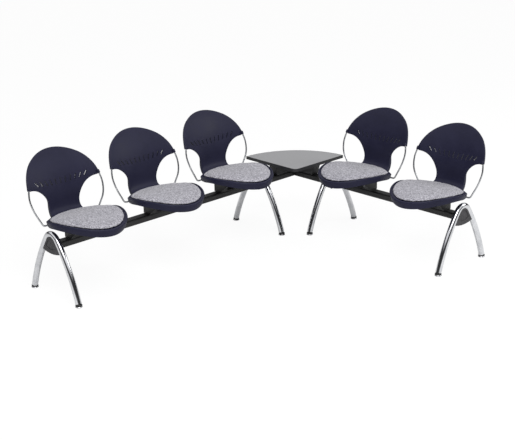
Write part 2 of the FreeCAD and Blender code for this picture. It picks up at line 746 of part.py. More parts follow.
def leg_bar(tube_r, bottom_z, sides):
    """A bar along a leg, in the plane square to the left beam at X 0, cut level at its feet."""
    radius, centre, _ = leg_foot_arc()
    crest = math.radians(90 - LEG_APEX_TURN)
    foot = math.asin((-LEG_TUBE_D - centre[1]) / radius)
    hub_z = LEG_APEX_Z - LEG_APEX_R
    half = []
    for i in range(LEG_FOOT_SPANS):
        a = foot + (crest - foot) * i / LEG_FOOT_SPANS
        point = (centre[0] + radius * math.cos(a), centre[1] + radius * math.sin(a))
        half.append((point, (-math.sin(a), math.cos(a))))
    for i in range(LEG_APEX_SPANS):
        a = math.radians(LEG_APEX_TURN) * (1 - i / LEG_APEX_SPANS)
        point = (LEG_APEX_R * math.sin(a), hub_z + LEG_APEX_R * math.cos(a))
        half.append((point, (-math.cos(a), math.sin(a))))
    stations = [(Vector(0, p[0], p[1]), Vector(0, d[0], d[1])) for p, d in half]
    stations.append((Vector(0, 0, LEG_APEX_Z), Vector(0, -1, 0)))
    stations += [(Vector(0, -p[0], p[1]), Vector(0, d[0], -d[1])) for p, d in half[::-1]]
    bar = ring_loft(stations, Vector(1, 0, 0), tube_r, sides)
    return bar.cut(box((-FAR, -FAR, -FAR), (FAR, FAR, bottom_z)))


def leg():
    bore = leg_bar(LEG_R - LEG_TUBE_WALL, FOOT_TUBE_END_Z - 5, BORE_SIDES)
    return leg_bar(LEG_R, FOOT_TUBE_END_Z, LEG_SIDES).cut(bore)


def glide_v():
    return leg_v(FOOT_TUBE_END_Z)


def leg_plugs():
    """Both plugs of a leg: a flange on the tube's end, and a core inside it with the stem's bore."""
    core = leg_bar(LEG_R - LEG_TUBE_WALL - ROUND_GAP, FOOT_TUBE_END_Z - 1, BORE_SIDES)
    core = core.common(box((-FAR, -FAR, FOOT_TUBE_END_Z - PLUG_FLANGE_H / 2), (FAR, FAR, PLUG_TOP_Z)))
    solids = []
    for side in (1, -1):
        v = side * glide_v()
        low = FOOT_TUBE_END_Z - PLUG_FLANGE_H
        flange = peg(PLUG_FLANGE_D / 2, seat_point(0, v, low), seat_point(0, v, FOOT_TUBE_END_Z), LEG_SIDES)
        half = core.common(box((-FAR, min(0, -side * FAR), 0), (FAR, max(0, -side * FAR), FAR)))
        bore_r = GLIDE_STEM_D / 2 + GLIDE_RUNNING_GAP / math.cos(math.pi / STEM_SIDES)
        bore = peg(bore_r, seat_point(0, v, 0), seat_point(0, v, PLUG_TOP_Z + 1), STEM_SIDES)
        solids.append(flange.fuse(half).cut(bore).removeSplitter())
    return solids


def glide(side):
    """A levelling foot under the front (1) or rear (-1) end of a leg: ribbed pad, hexagon and stem."""
    v = side * glide_v()
    collar_top = FOOT_TUBE_END_Z - PLUG_FLANGE_H - SEAT_GAP
    pad = peg(GLIDE_D / 2, seat_point(0, v, 0), seat_point(0, v, GLIDE_PAD_H), GLIDE_SIDES)
    collar = peg(GLIDE_COLLAR_D / 2, seat_point(0, v, GLIDE_PAD_H - 1), seat_point(0, v, collar_top))
    stem = peg(GLIDE_STEM_D / 2, seat_point(0, v, GLIDE_PAD_H), seat_point(0, v, GLIDE_STEM_TOP_Z), STEM_SIDES)
    return pad.fuse([collar, stem]).removeSplitter()


# End bracket and inner leg clamp

def gusset_face(shrink):
    """The end bracket's outline in the leg's plane, up to the leg's centre line less a shrink."""
    shoulder_z = BEAM_TOP_Z - END_BRACKET_SHOULDER_DROP + shrink
    drop = END_BRACKET_KEEL_DROP - END_BRACKET_SHOULDER_DROP
    radius, centre, _ = leg_foot_arc()
    inner = radius - shrink
    apex_r = LEG_APEX_R - shrink
    low = math.asin((shoulder_z - centre[1]) / inner)
    high = math.radians(90 - LEG_APEX_TURN)
    half = []
    for i in range(GUSSET_SPANS):
        a = low + (high - low) * i / GUSSET_SPANS
        half.append((centre[0] + inner * math.cos(a), centre[1] + inner * math.sin(a)))
    for i in range(GUSSET_SPANS):
        a = math.radians(LEG_APEX_TURN) * (1 - i / GUSSET_SPANS)
        half.append((apex_r * math.sin(a), LEG_APEX_Z - LEG_APEX_R + apex_r * math.cos(a)))
    shoulder = half[0][0]
    keel = chords(shoulder, drop, KEEL_SPANS)[1:-1]
    outline = [Vector(0, y, z) for y, z in half] + [Vector(0, 0, LEG_APEX_Z - LEG_APEX_R + apex_r)]
    outline += [Vector(0, -y, z) for y, z in half[::-1]]
    outline += [Vector(0, y, shoulder_z - drop + rise) for y, rise in keel]
    return polygon(outline)


def end_bracket():
    """The casting in an end leg's V, with the beam's spigot on its inner face (+X)."""
    half = END_BRACKET_T / 2
    body = gusset_face(0).translated(Vector(-half, 0, 0)).extrude(Vector(END_BRACKET_T, 0, 0))
    body = body.cut(leg_bar(LEG_R + ROUND_GAP, FOOT_TUBE_END_Z, LEG_SIDES))
    inner_face = gusset_face(LEG_R + END_BRACKET_BORDER)
    recess = inner_face.translated(Vector(-half - 1, 0, 0)).extrude(Vector(END_BRACKET_RECESS + 1, 0, 0))
    inset = BEAM_WALL + SEAT_GAP
    spigot = beam_bar(inset, half - 1, half + SPIGOT_LENGTH)
    pocket = beam_bar(inset + INSERT_WALL, half + 6, half + SPIGOT_LENGTH + 1)
    body = body.cut(recess).fuse(spigot.cut(pocket))
    holes = []
    for x in (SPIGOT_LENGTH * 0.35, SPIGOT_LENGTH * 0.75):
        start = Vector(half + x, 0, BEAM_BOTTOM_Z)
        holes.append(peg(BOLT_D / 2, start, start + Vector(0, 0, inset + INSERT_WALL + 1)))
    return body.cut(holes).removeSplitter()


def clamp_bolt_places():
    return [(a * CLAMP_BOLT_U, b * CLAMP_BOLT_V) for a in (1, -1) for b in (1, -1)]


def clamp_holes(low, high):
    return [peg(CLAMP_BOLT_D / 2, seat_point(u, v, low), seat_point(u, v, high)) for u, v in clamp_bolt_places()]


def inner_saddle():
    """The block between the beam and an inner leg's apex, with ears for the bolts."""
    base_z = BEAM_TOP_Z + SEAT_GAP
    half = CLAMP_LENGTH / 2
    base = box((-half, -CLAMP_WIDTH / 2, base_z), (half, CLAMP_WIDTH / 2, base_z + SADDLE_BASE_T))
    corners = [e for e in base.Edges if abs(e.BoundBox.ZLength - SADDLE_BASE_T) < 0.01]
    base = base.makeChamfer(CLAMP_CORNER, corners)
    tower = [
        Vector(-half + 22, -SADDLE_WIDTH / 2, base_z), Vector(half - 22, -SADDLE_WIDTH / 2, base_z),
        Vector(half - 24, -SADDLE_WIDTH / 2, LEG_APEX_Z), Vector(-half + 24, -SADDLE_WIDTH / 2, LEG_APEX_Z)]
    block = base.fuse(prism(tower, Vector(0, SADDLE_WIDTH, 0)))
    block = block.common(gusset_face(0).translated(Vector(-half - 1, 0, 0)).extrude(Vector(2 * half + 2, 0, 0)).fuse(base))
    block = block.cut(leg_bar(LEG_R + ROUND_GAP, FOOT_TUBE_END_Z, LEG_SIDES))
    return block.cut(clamp_holes(base_z - 1, base_z + SADDLE_BASE_T + 1)).removeSplitter()


def clamp_strap():
    """The strap under the beam."""
    top = BEAM_BOTTOM_Z - SEAT_GAP
    half = CLAMP_LENGTH / 2
    plate = box((-half, -CLAMP_WIDTH / 2, top - STRAP_T), (half, CLAMP_WIDTH / 2, top))
    corners = [e for e in plate.Edges if abs(e.BoundBox.ZLength - STRAP_T) < 0.01]
    plate = plate.makeChamfer(CLAMP_CORNER, corners)
    return plate.cut(clamp_holes(top - STRAP_T - 1, top + 1)).removeSplitter()


def clamp_bolts():
    """Four bolts of one clamp: head under the strap, shank up through the saddle, nut on its ear."""
    top = BEAM_BOTTOM_Z - SEAT_GAP
    head_z = top - STRAP_T
    nut_z = BEAM_TOP_Z + SEAT_GAP + SADDLE_BASE_T
    solids = []
    for u, v in clamp_bolt_places():
        screw = bolt(u, v, head_z, nut_z - head_z + 8, CLAMP_BOLT_D, BOLT_HEAD_D, BOLT_HEAD_H, False)
        nut = peg(BOLT_HEAD_D / 2, seat_point(u, v, nut_z), seat_point(u, v, nut_z + BOLT_HEAD_H))
        solids.append(screw.fuse(nut).removeSplitter())
    return solids


# Table

def table_prism(inset, low, high):
    """A quarter-round board, shrunk by an inset, between two heights."""
    near = -TABLE_CORNER + inset
    reach = TABLE_R - inset
    tilt = math.asin(inset / reach)
    hub = near + TABLE_CORNER_R - inset
    bend = TABLE_CORNER_R - inset
    outline = []
    for i in range(TABLE_CORNER_SPANS + 1):
        turn = math.radians(180 + 90 * i / TABLE_CORNER_SPANS)
        outline.append((hub + bend * math.cos(turn), hub + bend * math.sin(turn)))
    for i in range(TABLE_SPANS + 1):
        turn = tilt + (math.radians(90) - 2 * tilt) * i / TABLE_SPANS
        outline.append((-TABLE_CORNER + reach * math.cos(turn), -TABLE_CORNER + reach * math.sin(turn)))
    return prism([Vector(x, y, low) for x, y in outline], Vector(0, 0, high - low))


def table_top():
    return table_prism(TABLE_EDGE_T, TABLE_TOP_Z - TABLE_T, TABLE_TOP_Z)


def table_edge():
    band = table_prism(0, TABLE_TOP_Z - TABLE_T, TABLE_TOP_Z)
    return band.cut(table_prism(TABLE_EDGE_T, TABLE_TOP_Z - TABLE_T - 1, TABLE_TOP_Z + 1))


def table_bracket():
    """The left table bracket: a folded box on the beam, flared outwards to a plate under the board."""
    under = TABLE_TOP_Z - TABLE_T
    low = BEAM_TOP_Z
    half = HALF_BEAM - 1
    inner = -TABLE_BRACKET_IN
    outer = -TABLE_BRACKET_OUT
    flared = outer - TABLE_BRACKET_FLARE
    outline = [Vector(inner, -half, low), Vector(outer, -half, low), Vector(flared, -half, under), Vector(inner, -half, under)]
    block = prism(outline, Vector(0, 2 * half, 0))
    tilt = PLATE_T * math.sqrt(1 + (TABLE_BRACKET_FLARE / (under - low)) ** 2)
    hollow_outline = [
        Vector(inner + 1, -half + PLATE_T, low + PLATE_T), Vector(outer + tilt, -half + PLATE_T, low + PLATE_T),
        Vector(flared + tilt, -half + PLATE_T, under + 1), Vector(inner + 1, -half + PLATE_T, under + 1)]
    hollow = prism(hollow_outline, Vector(0, 2 * (half - PLATE_T), 0))
    wing = HALF_BEAM + TABLE_PLATE_OVERHANG
    plate = box((flared, -wing, under - PLATE_T), (inner, wing, under))
    corners = [e for e in plate.Edges if abs(e.BoundBox.ZLength - PLATE_T) < 0.01]
    plate = plate.makeChamfer(TABLE_PLATE_CORNER, corners)
    window = box((flared + 25, -half + 8, under - PLATE_T - 1), (inner - 20, half - 8, under + 1))
    bracket = block.cut(hollow).fuse(plate).cut(window)
    holes = []
    for x in table_bolt_places():
        holes.append(peg(BOLT_D / 2, Vector(x, 0, low - 1), Vector(x, 0, low + PLATE_T + 1)))
    return bracket.cut(holes).removeSplitter()


def table_bolts():
    """The bolts that hold the table brackets to the beams."""
    seat_z = BEAM_TOP_Z + PLATE_T
    left = [bolt(x, 0, seat_z, 16.0, BOLT_D, BOLT_HEAD_D, BOLT_HEAD_H, True) for x in table_bolt_places()]
    return left + [across_corner(b) for b in left]


# Assembly

def on_left(shape, distance):
    return shape.translated(Vector(-distance, 0, 0))


def on_right(shape, distance):
    turned = shape.copy()
    turned.rotate(Vector(0, 0, 0), Vector(0, 0, 1), -90)
    return turned.translated(Vector(0, -distance, 0))


def seat_places():
    left = [(on_left, CORNER_TO_SEAT + SEAT_PITCH * i) for i in range(SEATS_LEFT)][::-1]
    return left + [(on_right, CORNER_TO_SEAT + SEAT_PITCH * i) for i in range(SEATS_RIGHT)]


def add_seats():
    shell = seat_shell()
    pad = seat_pad()
    rod = rod_solid(ROD_R)
    bracket = seat_bracket()
    bolts = seat_bolts()
    clips = [rod_clip(CLIP_U), rod_clip(-CLIP_U)]
    parts["seat_bolts"] = []
    parts["rod_clips"] = []
    for number, (place, distance) in enumerate(seat_places(), 1):
        parts[f"seat_shell_{number}"] = [place(shell, distance)]
        parts[f"seat_pad_{number}"] = [place(pad, distance)]
        parts[f"back_rod_{number}"] = [place(rod, distance)]
        parts[f"seat_bracket_{number}"] = [place(bracket, distance)]
        parts["seat_bolts"] += [place(b, distance) for b in bolts]
        parts["rod_clips"] += [place(c, distance) for c in clips]


def add_beams():
    parts["beam_left"] = [beam(SEATS_LEFT)]
    parts["beam_right"] = [across_corner(beam(SEATS_RIGHT))]
    parts["corner_insert"] = [corner_insert()]
    parts["beam_screws"] = beam_screws(SEATS_LEFT) + [across_corner(s) for s in beam_screws(SEATS_RIGHT)]


def add_legs():
    tube = leg()
    plugs = leg_plugs()
    bracket = end_bracket()
    saddle = inner_saddle()
    strap = clamp_strap()
    bolts = clamp_bolts()
    legs = (
        ("left_end", on_left, end_leg_u(SEATS_LEFT), False), ("left_inner", on_left, CORNER_TO_INNER_LEG, True),
        ("right_inner", on_right, CORNER_TO_INNER_LEG, True), ("right_end", on_right, end_leg_u(SEATS_RIGHT), False))
    for name, place, distance, inner in legs:
        parts[f"leg_{name}"] = [place(tube, distance)]
        parts[f"leg_plugs_{name}"] = [place(p, distance) for p in plugs]
        parts[f"glide_{name}_front"] = [place(glide(1), distance)]
        parts[f"glide_{name}_rear"] = [place(glide(-1), distance)]
        if inner:
            parts[f"leg_saddle_{name}"] = [place(saddle, distance)]
            parts[f"clamp_strap_{name}"] = [place(strap, distance)]
            parts[f"clamp_bolts_{name}"] = [place(b, distance) for b in bolts]
    parts["end_bracket_left"] = [on_left(bracket, end_leg_u(SEATS_LEFT))]
    facing = bracket.copy()
    facing.rotate(Vector(0, 0, 0), Vector(0, 0, 1), 90)
    parts["end_bracket_right"] = [facing.translated(Vector(0, -end_leg_u(SEATS_RIGHT), 0))]


def add_table():
    parts["table_top"] = [table_top()]
    parts["table_edge"] = [table_edge()]
    left = table_bracket()
    parts["table_bracket_left"] = [left]
    parts["table_bracket_right"] = [across_corner(left)]
    parts["table_bolts"] = table_bolts()


def main():
    os.makedirs("parts", exist_ok=True)
    add_seats()
    add_beams()
    add_legs()
    add_table()
    whole = FreeCAD.BoundBox()
    for solids in parts.values():
        for solid in solids:
            whole.add(solid.optimalBoundingBox())
    shift = Vector(-whole.Center.x, -whole.Center.y, 0)
    print("size", round(whole.XLength, 2), round(whole.YLength, 2), round(whole.ZLength, 2), "lowest", whole.ZMin)
    print("shift", round(shift.x, 3), round(shift.y, 3))
    for name, solids in parts.items():
        moved = [s.translated(shift) for s in solids]
        bodies = [b for s in moved for b in s.Solids]
        shape = bodies[0] if len(bodies) == 1 else Part.makeCompound(bodies)
        shape.exportStep(f"parts/{name}.step")
        print(name, len(bodies), "of", len(solids), "valid", shape.isValid(), "volume", round(shape.Volume / 1000, 1))
    print("nodes", len(parts))


main()
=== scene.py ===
# %% [markdown]
# This is a bench for a waiting room: three seats on one steel beam, two on another, and a table in their
# corner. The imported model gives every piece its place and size. This script gives the pieces their looks:
# moulded shells, padded fabric, chrome tubes, cast brackets and a laminate table.

# %% The frame
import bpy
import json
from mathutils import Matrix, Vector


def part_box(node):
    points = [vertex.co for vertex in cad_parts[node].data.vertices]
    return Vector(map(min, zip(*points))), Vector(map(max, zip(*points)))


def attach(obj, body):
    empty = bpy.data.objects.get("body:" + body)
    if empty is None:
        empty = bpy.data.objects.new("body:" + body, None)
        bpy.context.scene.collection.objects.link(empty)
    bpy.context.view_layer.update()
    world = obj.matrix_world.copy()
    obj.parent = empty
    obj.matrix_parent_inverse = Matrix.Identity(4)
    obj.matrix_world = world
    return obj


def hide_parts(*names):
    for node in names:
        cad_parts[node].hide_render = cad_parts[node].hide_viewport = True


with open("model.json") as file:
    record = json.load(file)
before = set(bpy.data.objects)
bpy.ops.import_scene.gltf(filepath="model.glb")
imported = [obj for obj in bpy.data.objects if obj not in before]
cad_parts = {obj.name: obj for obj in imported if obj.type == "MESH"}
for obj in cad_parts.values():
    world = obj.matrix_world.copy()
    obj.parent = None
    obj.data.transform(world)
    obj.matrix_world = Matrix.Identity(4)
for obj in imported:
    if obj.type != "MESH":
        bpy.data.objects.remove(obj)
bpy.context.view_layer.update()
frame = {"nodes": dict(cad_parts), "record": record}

import json
import math

import bmesh
import bpy
import numpy as np
from mathutils import Matrix, Vector

# %% [markdown]
# Shapes are drawn in millimetres in a seat's own frame, because that is how a seat is drawn on paper:
# sideways is X, forwards is -Y, up is Z, and the beam runs under Y 0. One matrix then turns and scales a
# finished mesh to its place on either beam, so a shape is made once and copied.

# %% Places
MM = 0.001
SEATS = (1, 2, 3, 4, 5)
SEATS_LEFT = 3
LEGS = ("left_end", "left_inner", "right_inner", "right_end")


def middle_of(node):
    low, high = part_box(node)
    return [(a + b) / 2 for a, b in zip(low, high)]


CROSS_X = middle_of("beam_right")[0]
CROSS_Y = middle_of("beam_left")[1]


def place_on_beam(node, right):
    """The matrix from millimetres in a seat's or leg's own frame to metres in its place on a beam."""
    here = middle_of(node)
    if right:
        move = Matrix.Translation((CROSS_X, here[1], 0))
        return move @ Matrix.Rotation(-math.pi / 2, 4, "Z") @ Matrix.Scale(MM, 4)
    return Matrix.Translation((here[0], CROSS_Y, 0)) @ Matrix.Scale(MM, 4)


def seat_place(number):
    return place_on_beam(f"seat_bracket_{number}", number > SEATS_LEFT)


def leg_place(leg):
    return place_on_beam(f"leg_{leg}", leg.startswith("right"))


print("beams cross at", round(CROSS_X, 4), round(CROSS_Y, 4))

# %% [markdown]
# Every mesh ends the same way. Its faces are shaded smooth, and an edge stays sharp only where two faces
# meet at more than a small angle, so a round tube looks round and a cut end looks cut.

# %% Mesh helpers
SHARP_ANGLE = math.radians(38)


def finished(bm, name):
    """Turn a bmesh into a mesh with smooth faces and sharp creases."""
    for face in bm.faces:
        face.smooth = True
    for edge in bm.edges:
        edge.smooth = len(edge.link_faces) != 2 or edge.calc_face_angle(0.0) < SHARP_ANGLE
    mesh = bpy.data.meshes.new(name)
    bm.to_mesh(mesh)
    bm.free()
    return mesh


def through_modifiers(bm, setup):
    """Run a bmesh through modifiers and return the result as a new bmesh."""
    mesh = bpy.data.meshes.new("work")
    bm.to_mesh(mesh)
    bm.free()
    holder = bpy.data.objects.new("work", mesh)
    bpy.context.scene.collection.objects.link(holder)
    setup(holder.modifiers)
    shaped = bpy.data.meshes.new_from_object(holder.evaluated_get(bpy.context.evaluated_depsgraph_get()))
    result = bmesh.new()
    result.from_mesh(shaped)
    bpy.data.objects.remove(holder)
    for spent in (mesh, shaped):
        bpy.data.meshes.remove(spent)
    return result


def add_piece(name, mesh, slot, body="root", nodes=()):
    """Link a mesh as a piece that rides on a body, wears a slot's material and stands for CAD nodes."""
    piece = bpy.data.objects.new(name, mesh)
    bpy.context.scene.collection.objects.link(piece)
    mesh.materials.clear()
    mesh.materials.append(MATERIALS[slot])
    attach(piece, body)
    if nodes:
        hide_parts(*nodes)
    return piece


def placed_copy(mesh, name, matrix):
    copy = mesh.copy()
    copy.name = name
    copy.transform(matrix)
    return copy


# %% [markdown]
# A material here is a Principled BSDF fed by small node groups. Three effects come back on many surfaces,
# so each is a group made once: mottle, a soft uneven mask for handling marks; grain, the fine pebbling of
# moulded plastic and powder coat; and fleck, the speckle of mixed yarns. They read Object coordinates, so a
# pattern keeps its real size on every piece.

# %% Node helpers
YARN_STRETCH = (1.0, 0.55, 1.0)
YARN_TURN = 0.35


def add_node(tree, kind, sockets=(), **settings):
    """Add a node, set its properties, and link or set its input sockets."""
    node = tree.nodes.new(kind)
    for name, value in settings.items():
        setattr(node, name, value)
    for name, value in dict(sockets).items():
        if isinstance(value, bpy.types.NodeSocket):
            tree.links.new(value, node.inputs[name])
        else:
            node.inputs[name].default_value = value
    return node


def new_group(name, inputs, output):
    """A node group with a Vector input, float inputs with defaults, and one float output."""
    tree = bpy.data.node_groups.new(name, "ShaderNodeTree")
    tree.interface.new_socket("Vector", in_out="INPUT", socket_type="NodeSocketVector")
    for label, default in inputs.items():
        socket = tree.interface.new_socket(label, in_out="INPUT", socket_type="NodeSocketFloat")
        socket.default_value = default
    tree.interface.new_socket(output, in_out="OUTPUT", socket_type="NodeSocketFloat")
    return tree, tree.nodes.new("NodeGroupInput"), tree.nodes.new("NodeGroupOutput")


def make_mottle():
    tree, given, result = new_group("mottle", {"Scale": 8.0, "Low": 0.35, "High": 0.7}, "Mask")
    spot, scale = given.outputs["Vector"], given.outputs["Scale"]
    cloud = add_node(tree, "ShaderNodeTexNoise", {"Vector": spot, "Scale": scale,
                                                  "Detail": 6.0, "Roughness": 0.6})
    spread = add_node(tree, "ShaderNodeMapRange", {"Value": cloud.outputs["Fac"],
                                                   "From Min": given.outputs["Low"],
                                                   "From Max": given.outputs["High"]})
    tree.links.new(spread.outputs["Result"], result.inputs["Mask"])
    return tree


def make_grain():
    tree, given, result = new_group("grain", {"Scale": 900.0}, "Height")
    spot, scale = given.outputs["Vector"], given.outputs["Scale"]
    pebbles = add_node(tree, "ShaderNodeTexVoronoi", {"Vector": spot, "Scale": scale})
    cloud = add_node(tree, "ShaderNodeTexNoise", {"Vector": spot, "Scale": scale, "Detail": 3.0})
    both = add_node(tree, "ShaderNodeMath", operation="MULTIPLY_ADD")
    tree.links.new(pebbles.outputs["Distance"], both.inputs[0])
    both.inputs[1].default_value = 0.6
    tree.links.new(cloud.outputs["Fac"], both.inputs[2])
    tree.links.new(both.outputs["Value"], result.inputs["Height"])
    return tree


def make_fleck():
    """Short flecks of light and dark yarn, longer one way than the other, over a softer cloud."""
    tree, given, result = new_group("fleck", {"Fine": 420.0, "Coarse": 120.0}, "Mask")
    stretch = add_node(tree, "ShaderNodeMapping", {"Vector": given.outputs["Vector"], "Scale": YARN_STRETCH,
                                                   "Rotation": (0.0, 0.0, YARN_TURN)})
    yarns = stretch.outputs["Vector"]
    fine = add_node(tree, "ShaderNodeTexNoise", {"Vector": yarns, "Scale": given.outputs["Fine"],
                                                 "Detail": 2.0, "Roughness": 0.7})
    coarse = add_node(tree, "ShaderNodeTexNoise", {"Vector": yarns, "Scale": given.outputs["Coarse"],
                                                   "Detail": 3.0, "Roughness": 0.65})
    mixed = add_node(tree, "ShaderNodeMath", operation="ADD")
    tree.links.new(fine.outputs["Fac"], mixed.inputs[0])
    tree.links.new(coarse.outputs["Fac"], mixed.inputs[1])
    spread = add_node(tree, "ShaderNodeMapRange", {"Value": mixed.outputs["Value"],
                                                   "From Min": 0.82, "From Max": 1.18})
    tree.links.new(spread.outputs["Result"], result.inputs["Mask"])
    return tree


GROUPS = {"mottle": make_mottle(), "grain": make_grain(), "fleck": make_fleck()}


def use_group(tree, name, **values):
    """Place a node group on Object coordinates with its own values, and return its output socket."""
    spot = tree.nodes.new("ShaderNodeGroup")
    spot.node_tree = GROUPS[name]
    coordinates = tree.nodes.new("ShaderNodeTexCoord")
    tree.links.new(coordinates.outputs["Object"], spot.inputs["Vector"])
    for label, value in values.items():
        spot.inputs[label].default_value = value
    return spot.outputs[0]


def blend_colours(tree, mask, dark, light):
    ramp = add_node(tree, "ShaderNodeValToRGB")
    ramp.color_ramp.elements[0].color = (*dark, 1.0)
    ramp.color_ramp.elements[1].color = (*light, 1.0)
    tree.links.new(mask, ramp.inputs["Fac"])
    return ramp.outputs["Color"]


def blend_values(tree, mask, low, high):
    spread = add_node(tree, "ShaderNodeMapRange", {"Value": mask, "To Min": low, "To Max": high})
    return spread.outputs["Result"]


def bump(tree, height, strength, distance):
    relief = add_node(tree, "ShaderNodeBump", {"Height": height, "Strength": strength, "Distance": distance})
    return relief.outputs["Normal"]


def new_material(name, sockets):
    """A material with its Principled BSDF; constants are set on the shader's own sockets."""
    material = bpy.data.materials.new(name)
    material.use_nodes = True
    shader = material.node_tree.nodes["Principled BSDF"]
    for socket, value in sockets.items():
        shader.inputs[socket].default_value = value
    return material, material.node_tree, shader


def feed(tree, shader, **links):
    for name, socket in links.items():
        tree.links.new(socket, shader.inputs[name.replace("_", " ")])


print("node groups", sorted(GROUPS))

# %% [markdown]
# Coated and moulded surfaces differ mostly in colour, gloss and the size of their pebbling, so one function
# makes them all. A mottle drifts both the colour and the roughness a little, which is what handling does to
# plastic.

# %% Coated and moulded finishes
PEBBLE_DEPTH, POLISH_DEPTH, WEAVE_DEPTH = 0.0004, 0.0002, 0.0009


def coated(name, dark, light, rough, grain_scale, relief, drift=9.0, shine=0.5):
    """Moulded plastic, laminate or powder coat; drift is the mottle's scale, shine its reflection."""
    material, tree, shader = new_material(name, {"Specular IOR Level": shine})
    mask = use_group(tree, "mottle", Scale=drift, Low=0.3, High=0.72)
    height = use_group(tree, "grain", Scale=grain_scale)
    feed(tree, shader, Base_Color=blend_colours(tree, mask, dark, light),
         Roughness=blend_values(tree, mask, rough[0], rough[1]),
         Normal=bump(tree, height, relief, PEBBLE_DEPTH))
    return material


def metal(name, dark, light, rough, grain_scale, relief):
    """Plated or polished metal, a little darker and rougher where it is handled."""
    material, tree, shader = new_material(name, {})
    mask = use_group(tree, "mottle", Scale=14.0, Low=0.38, High=0.8)
    height = use_group(tree, "grain", Scale=grain_scale)
    feed(tree, shader, Base_Color=blend_colours(tree, mask, light, dark),
         Roughness=blend_values(tree, mask, rough[0], rough[1]),
         Normal=bump(tree, height, relief, POLISH_DEPTH))
    shader.inputs["Metallic"].default_value = 1.0
    return material


def fabric(name):
    """Heather upholstery: light and dark yarns mixed, a fuzzy sheen and a woven relief."""
    fuzz = {"Sheen Weight": 0.35, "Sheen Roughness": 0.5, "Specular IOR Level": 0.2}
    material, tree, shader = new_material(name, fuzz)
    flecks = use_group(tree, "fleck", Fine=430.0, Coarse=150.0)
    weave = use_group(tree, "grain", Scale=1300.0)
    feed(tree, shader, Base_Color=blend_colours(tree, flecks, (0.13, 0.125, 0.155), (0.66, 0.65, 0.71)),
         Roughness=blend_values(tree, flecks, 0.82, 0.97), Normal=bump(tree, weave, 0.55, WEAVE_DEPTH))
    return material


MATERIALS = {
    "shell_plastic": coated("navy moulded plastic", (0.011, 0.011, 0.031), (0.016, 0.016, 0.041),
                            rough=(0.4, 0.52), grain_scale=1100.0, relief=0.12, drift=9.0, shine=0.22),
    "pad_fabric": fabric("heather fabric"),
    "chrome_rod": metal("polished chrome rod", (0.42, 0.43, 0.45), (0.6, 0.61, 0.63),
                        rough=(0.14, 0.26), grain_scale=500.0, relief=0.02),
    "chrome_tube": metal("polished chrome tube", (0.6, 0.61, 0.64), (0.86, 0.87, 0.89),
                         rough=(0.04, 0.14), grain_scale=350.0, relief=0.02),
    "black_steel": coated("black powder coat", (0.008, 0.008, 0.009), (0.016, 0.016, 0.017),
                          rough=(0.38, 0.55), grain_scale=1500.0, relief=0.2),
    "casting_grey": coated("grey textured casting", (0.03, 0.029, 0.032), (0.07, 0.068, 0.074),
                           rough=(0.5, 0.7), grain_scale=520.0, relief=0.75, drift=30.0),
    "bracket_grey": coated("dark powder coat", (0.022, 0.022, 0.024), (0.036, 0.036, 0.038),
                           rough=(0.42, 0.6), grain_scale=1300.0, relief=0.25),
    "table_laminate": coated("grey laminate", (0.33, 0.33, 0.34), (0.42, 0.42, 0.432),
                             rough=(0.5, 0.62), grain_scale=1800.0, relief=0.06, drift=420.0),
    "table_edging": coated("black edge band", (0.01, 0.01, 0.013), (0.018, 0.018, 0.021),
                           rough=(0.35, 0.5), grain_scale=1500.0, relief=0.12),
    "plug_plastic": coated("black moulded plastic", (0.014, 0.014, 0.014), (0.026, 0.026, 0.026),
                           rough=(0.45, 0.6), grain_scale=1500.0, relief=0.15),
    "glide_metal": metal("plated foot", (0.4, 0.4, 0.42), (0.62, 0.62, 0.64),
                         rough=(0.2, 0.38), grain_scale=700.0, relief=0.12),
    "zinc_screws": metal("zinc plate", (0.4, 0.4, 0.42), (0.6, 0.6, 0.63),
                         rough=(0.25, 0.45), grain_scale=900.0, relief=0.12),
    "black_bolts": coated("black oxide", (0.01, 0.01, 0.01), (0.02, 0.02, 0.02),
                          rough=(0.35, 0.5), grain_scale=1500.0, relief=0.15),
}

for part in frame["record"]["subparts"]:
    mesh = frame["nodes"][part["node"]].data
    mesh.materials.clear()
    mesh.materials.append(MATERIALS[part["material_slot"]])
print("materials", len(MATERIALS))

# %% [markdown]
# The seat shell is one moulding: a dished back that narrows to a waist and runs through a bend into the
# pan. Its middle line is a smooth curve, and across it the surface is a shallow dish. So any point of the
# shell is named by two numbers, sideways and along that line, and a shape drawn flat in those numbers can
# be bent on.

# %% The shell's surface
PAN_TOP = 483.0
PAN_LINE = ((-43, 23.5), (0, 21), (55, 13.5), (110, 3), (175, 0), (270, 5), (390, 24))
BEND_LINE = ((-94, 20), (-82, -8), (-66, -19.5))
BACK_RISE = 337.0
TIP_RISE = 157.0
BACK_REACH = 352.0
TIP_V, BACK_LEAN, BACK_CURVE = -113.4, 0.307, 0.001246
WALL_SPREAD = 262.0
PAN_DISH = 3.0
BACK_DISH_R = 707.0
BACK_START_V = -60.0


def back_v(rise):
    h = rise - TIP_RISE
    return TIP_V - BACK_LEAN * h - BACK_CURVE * h * h


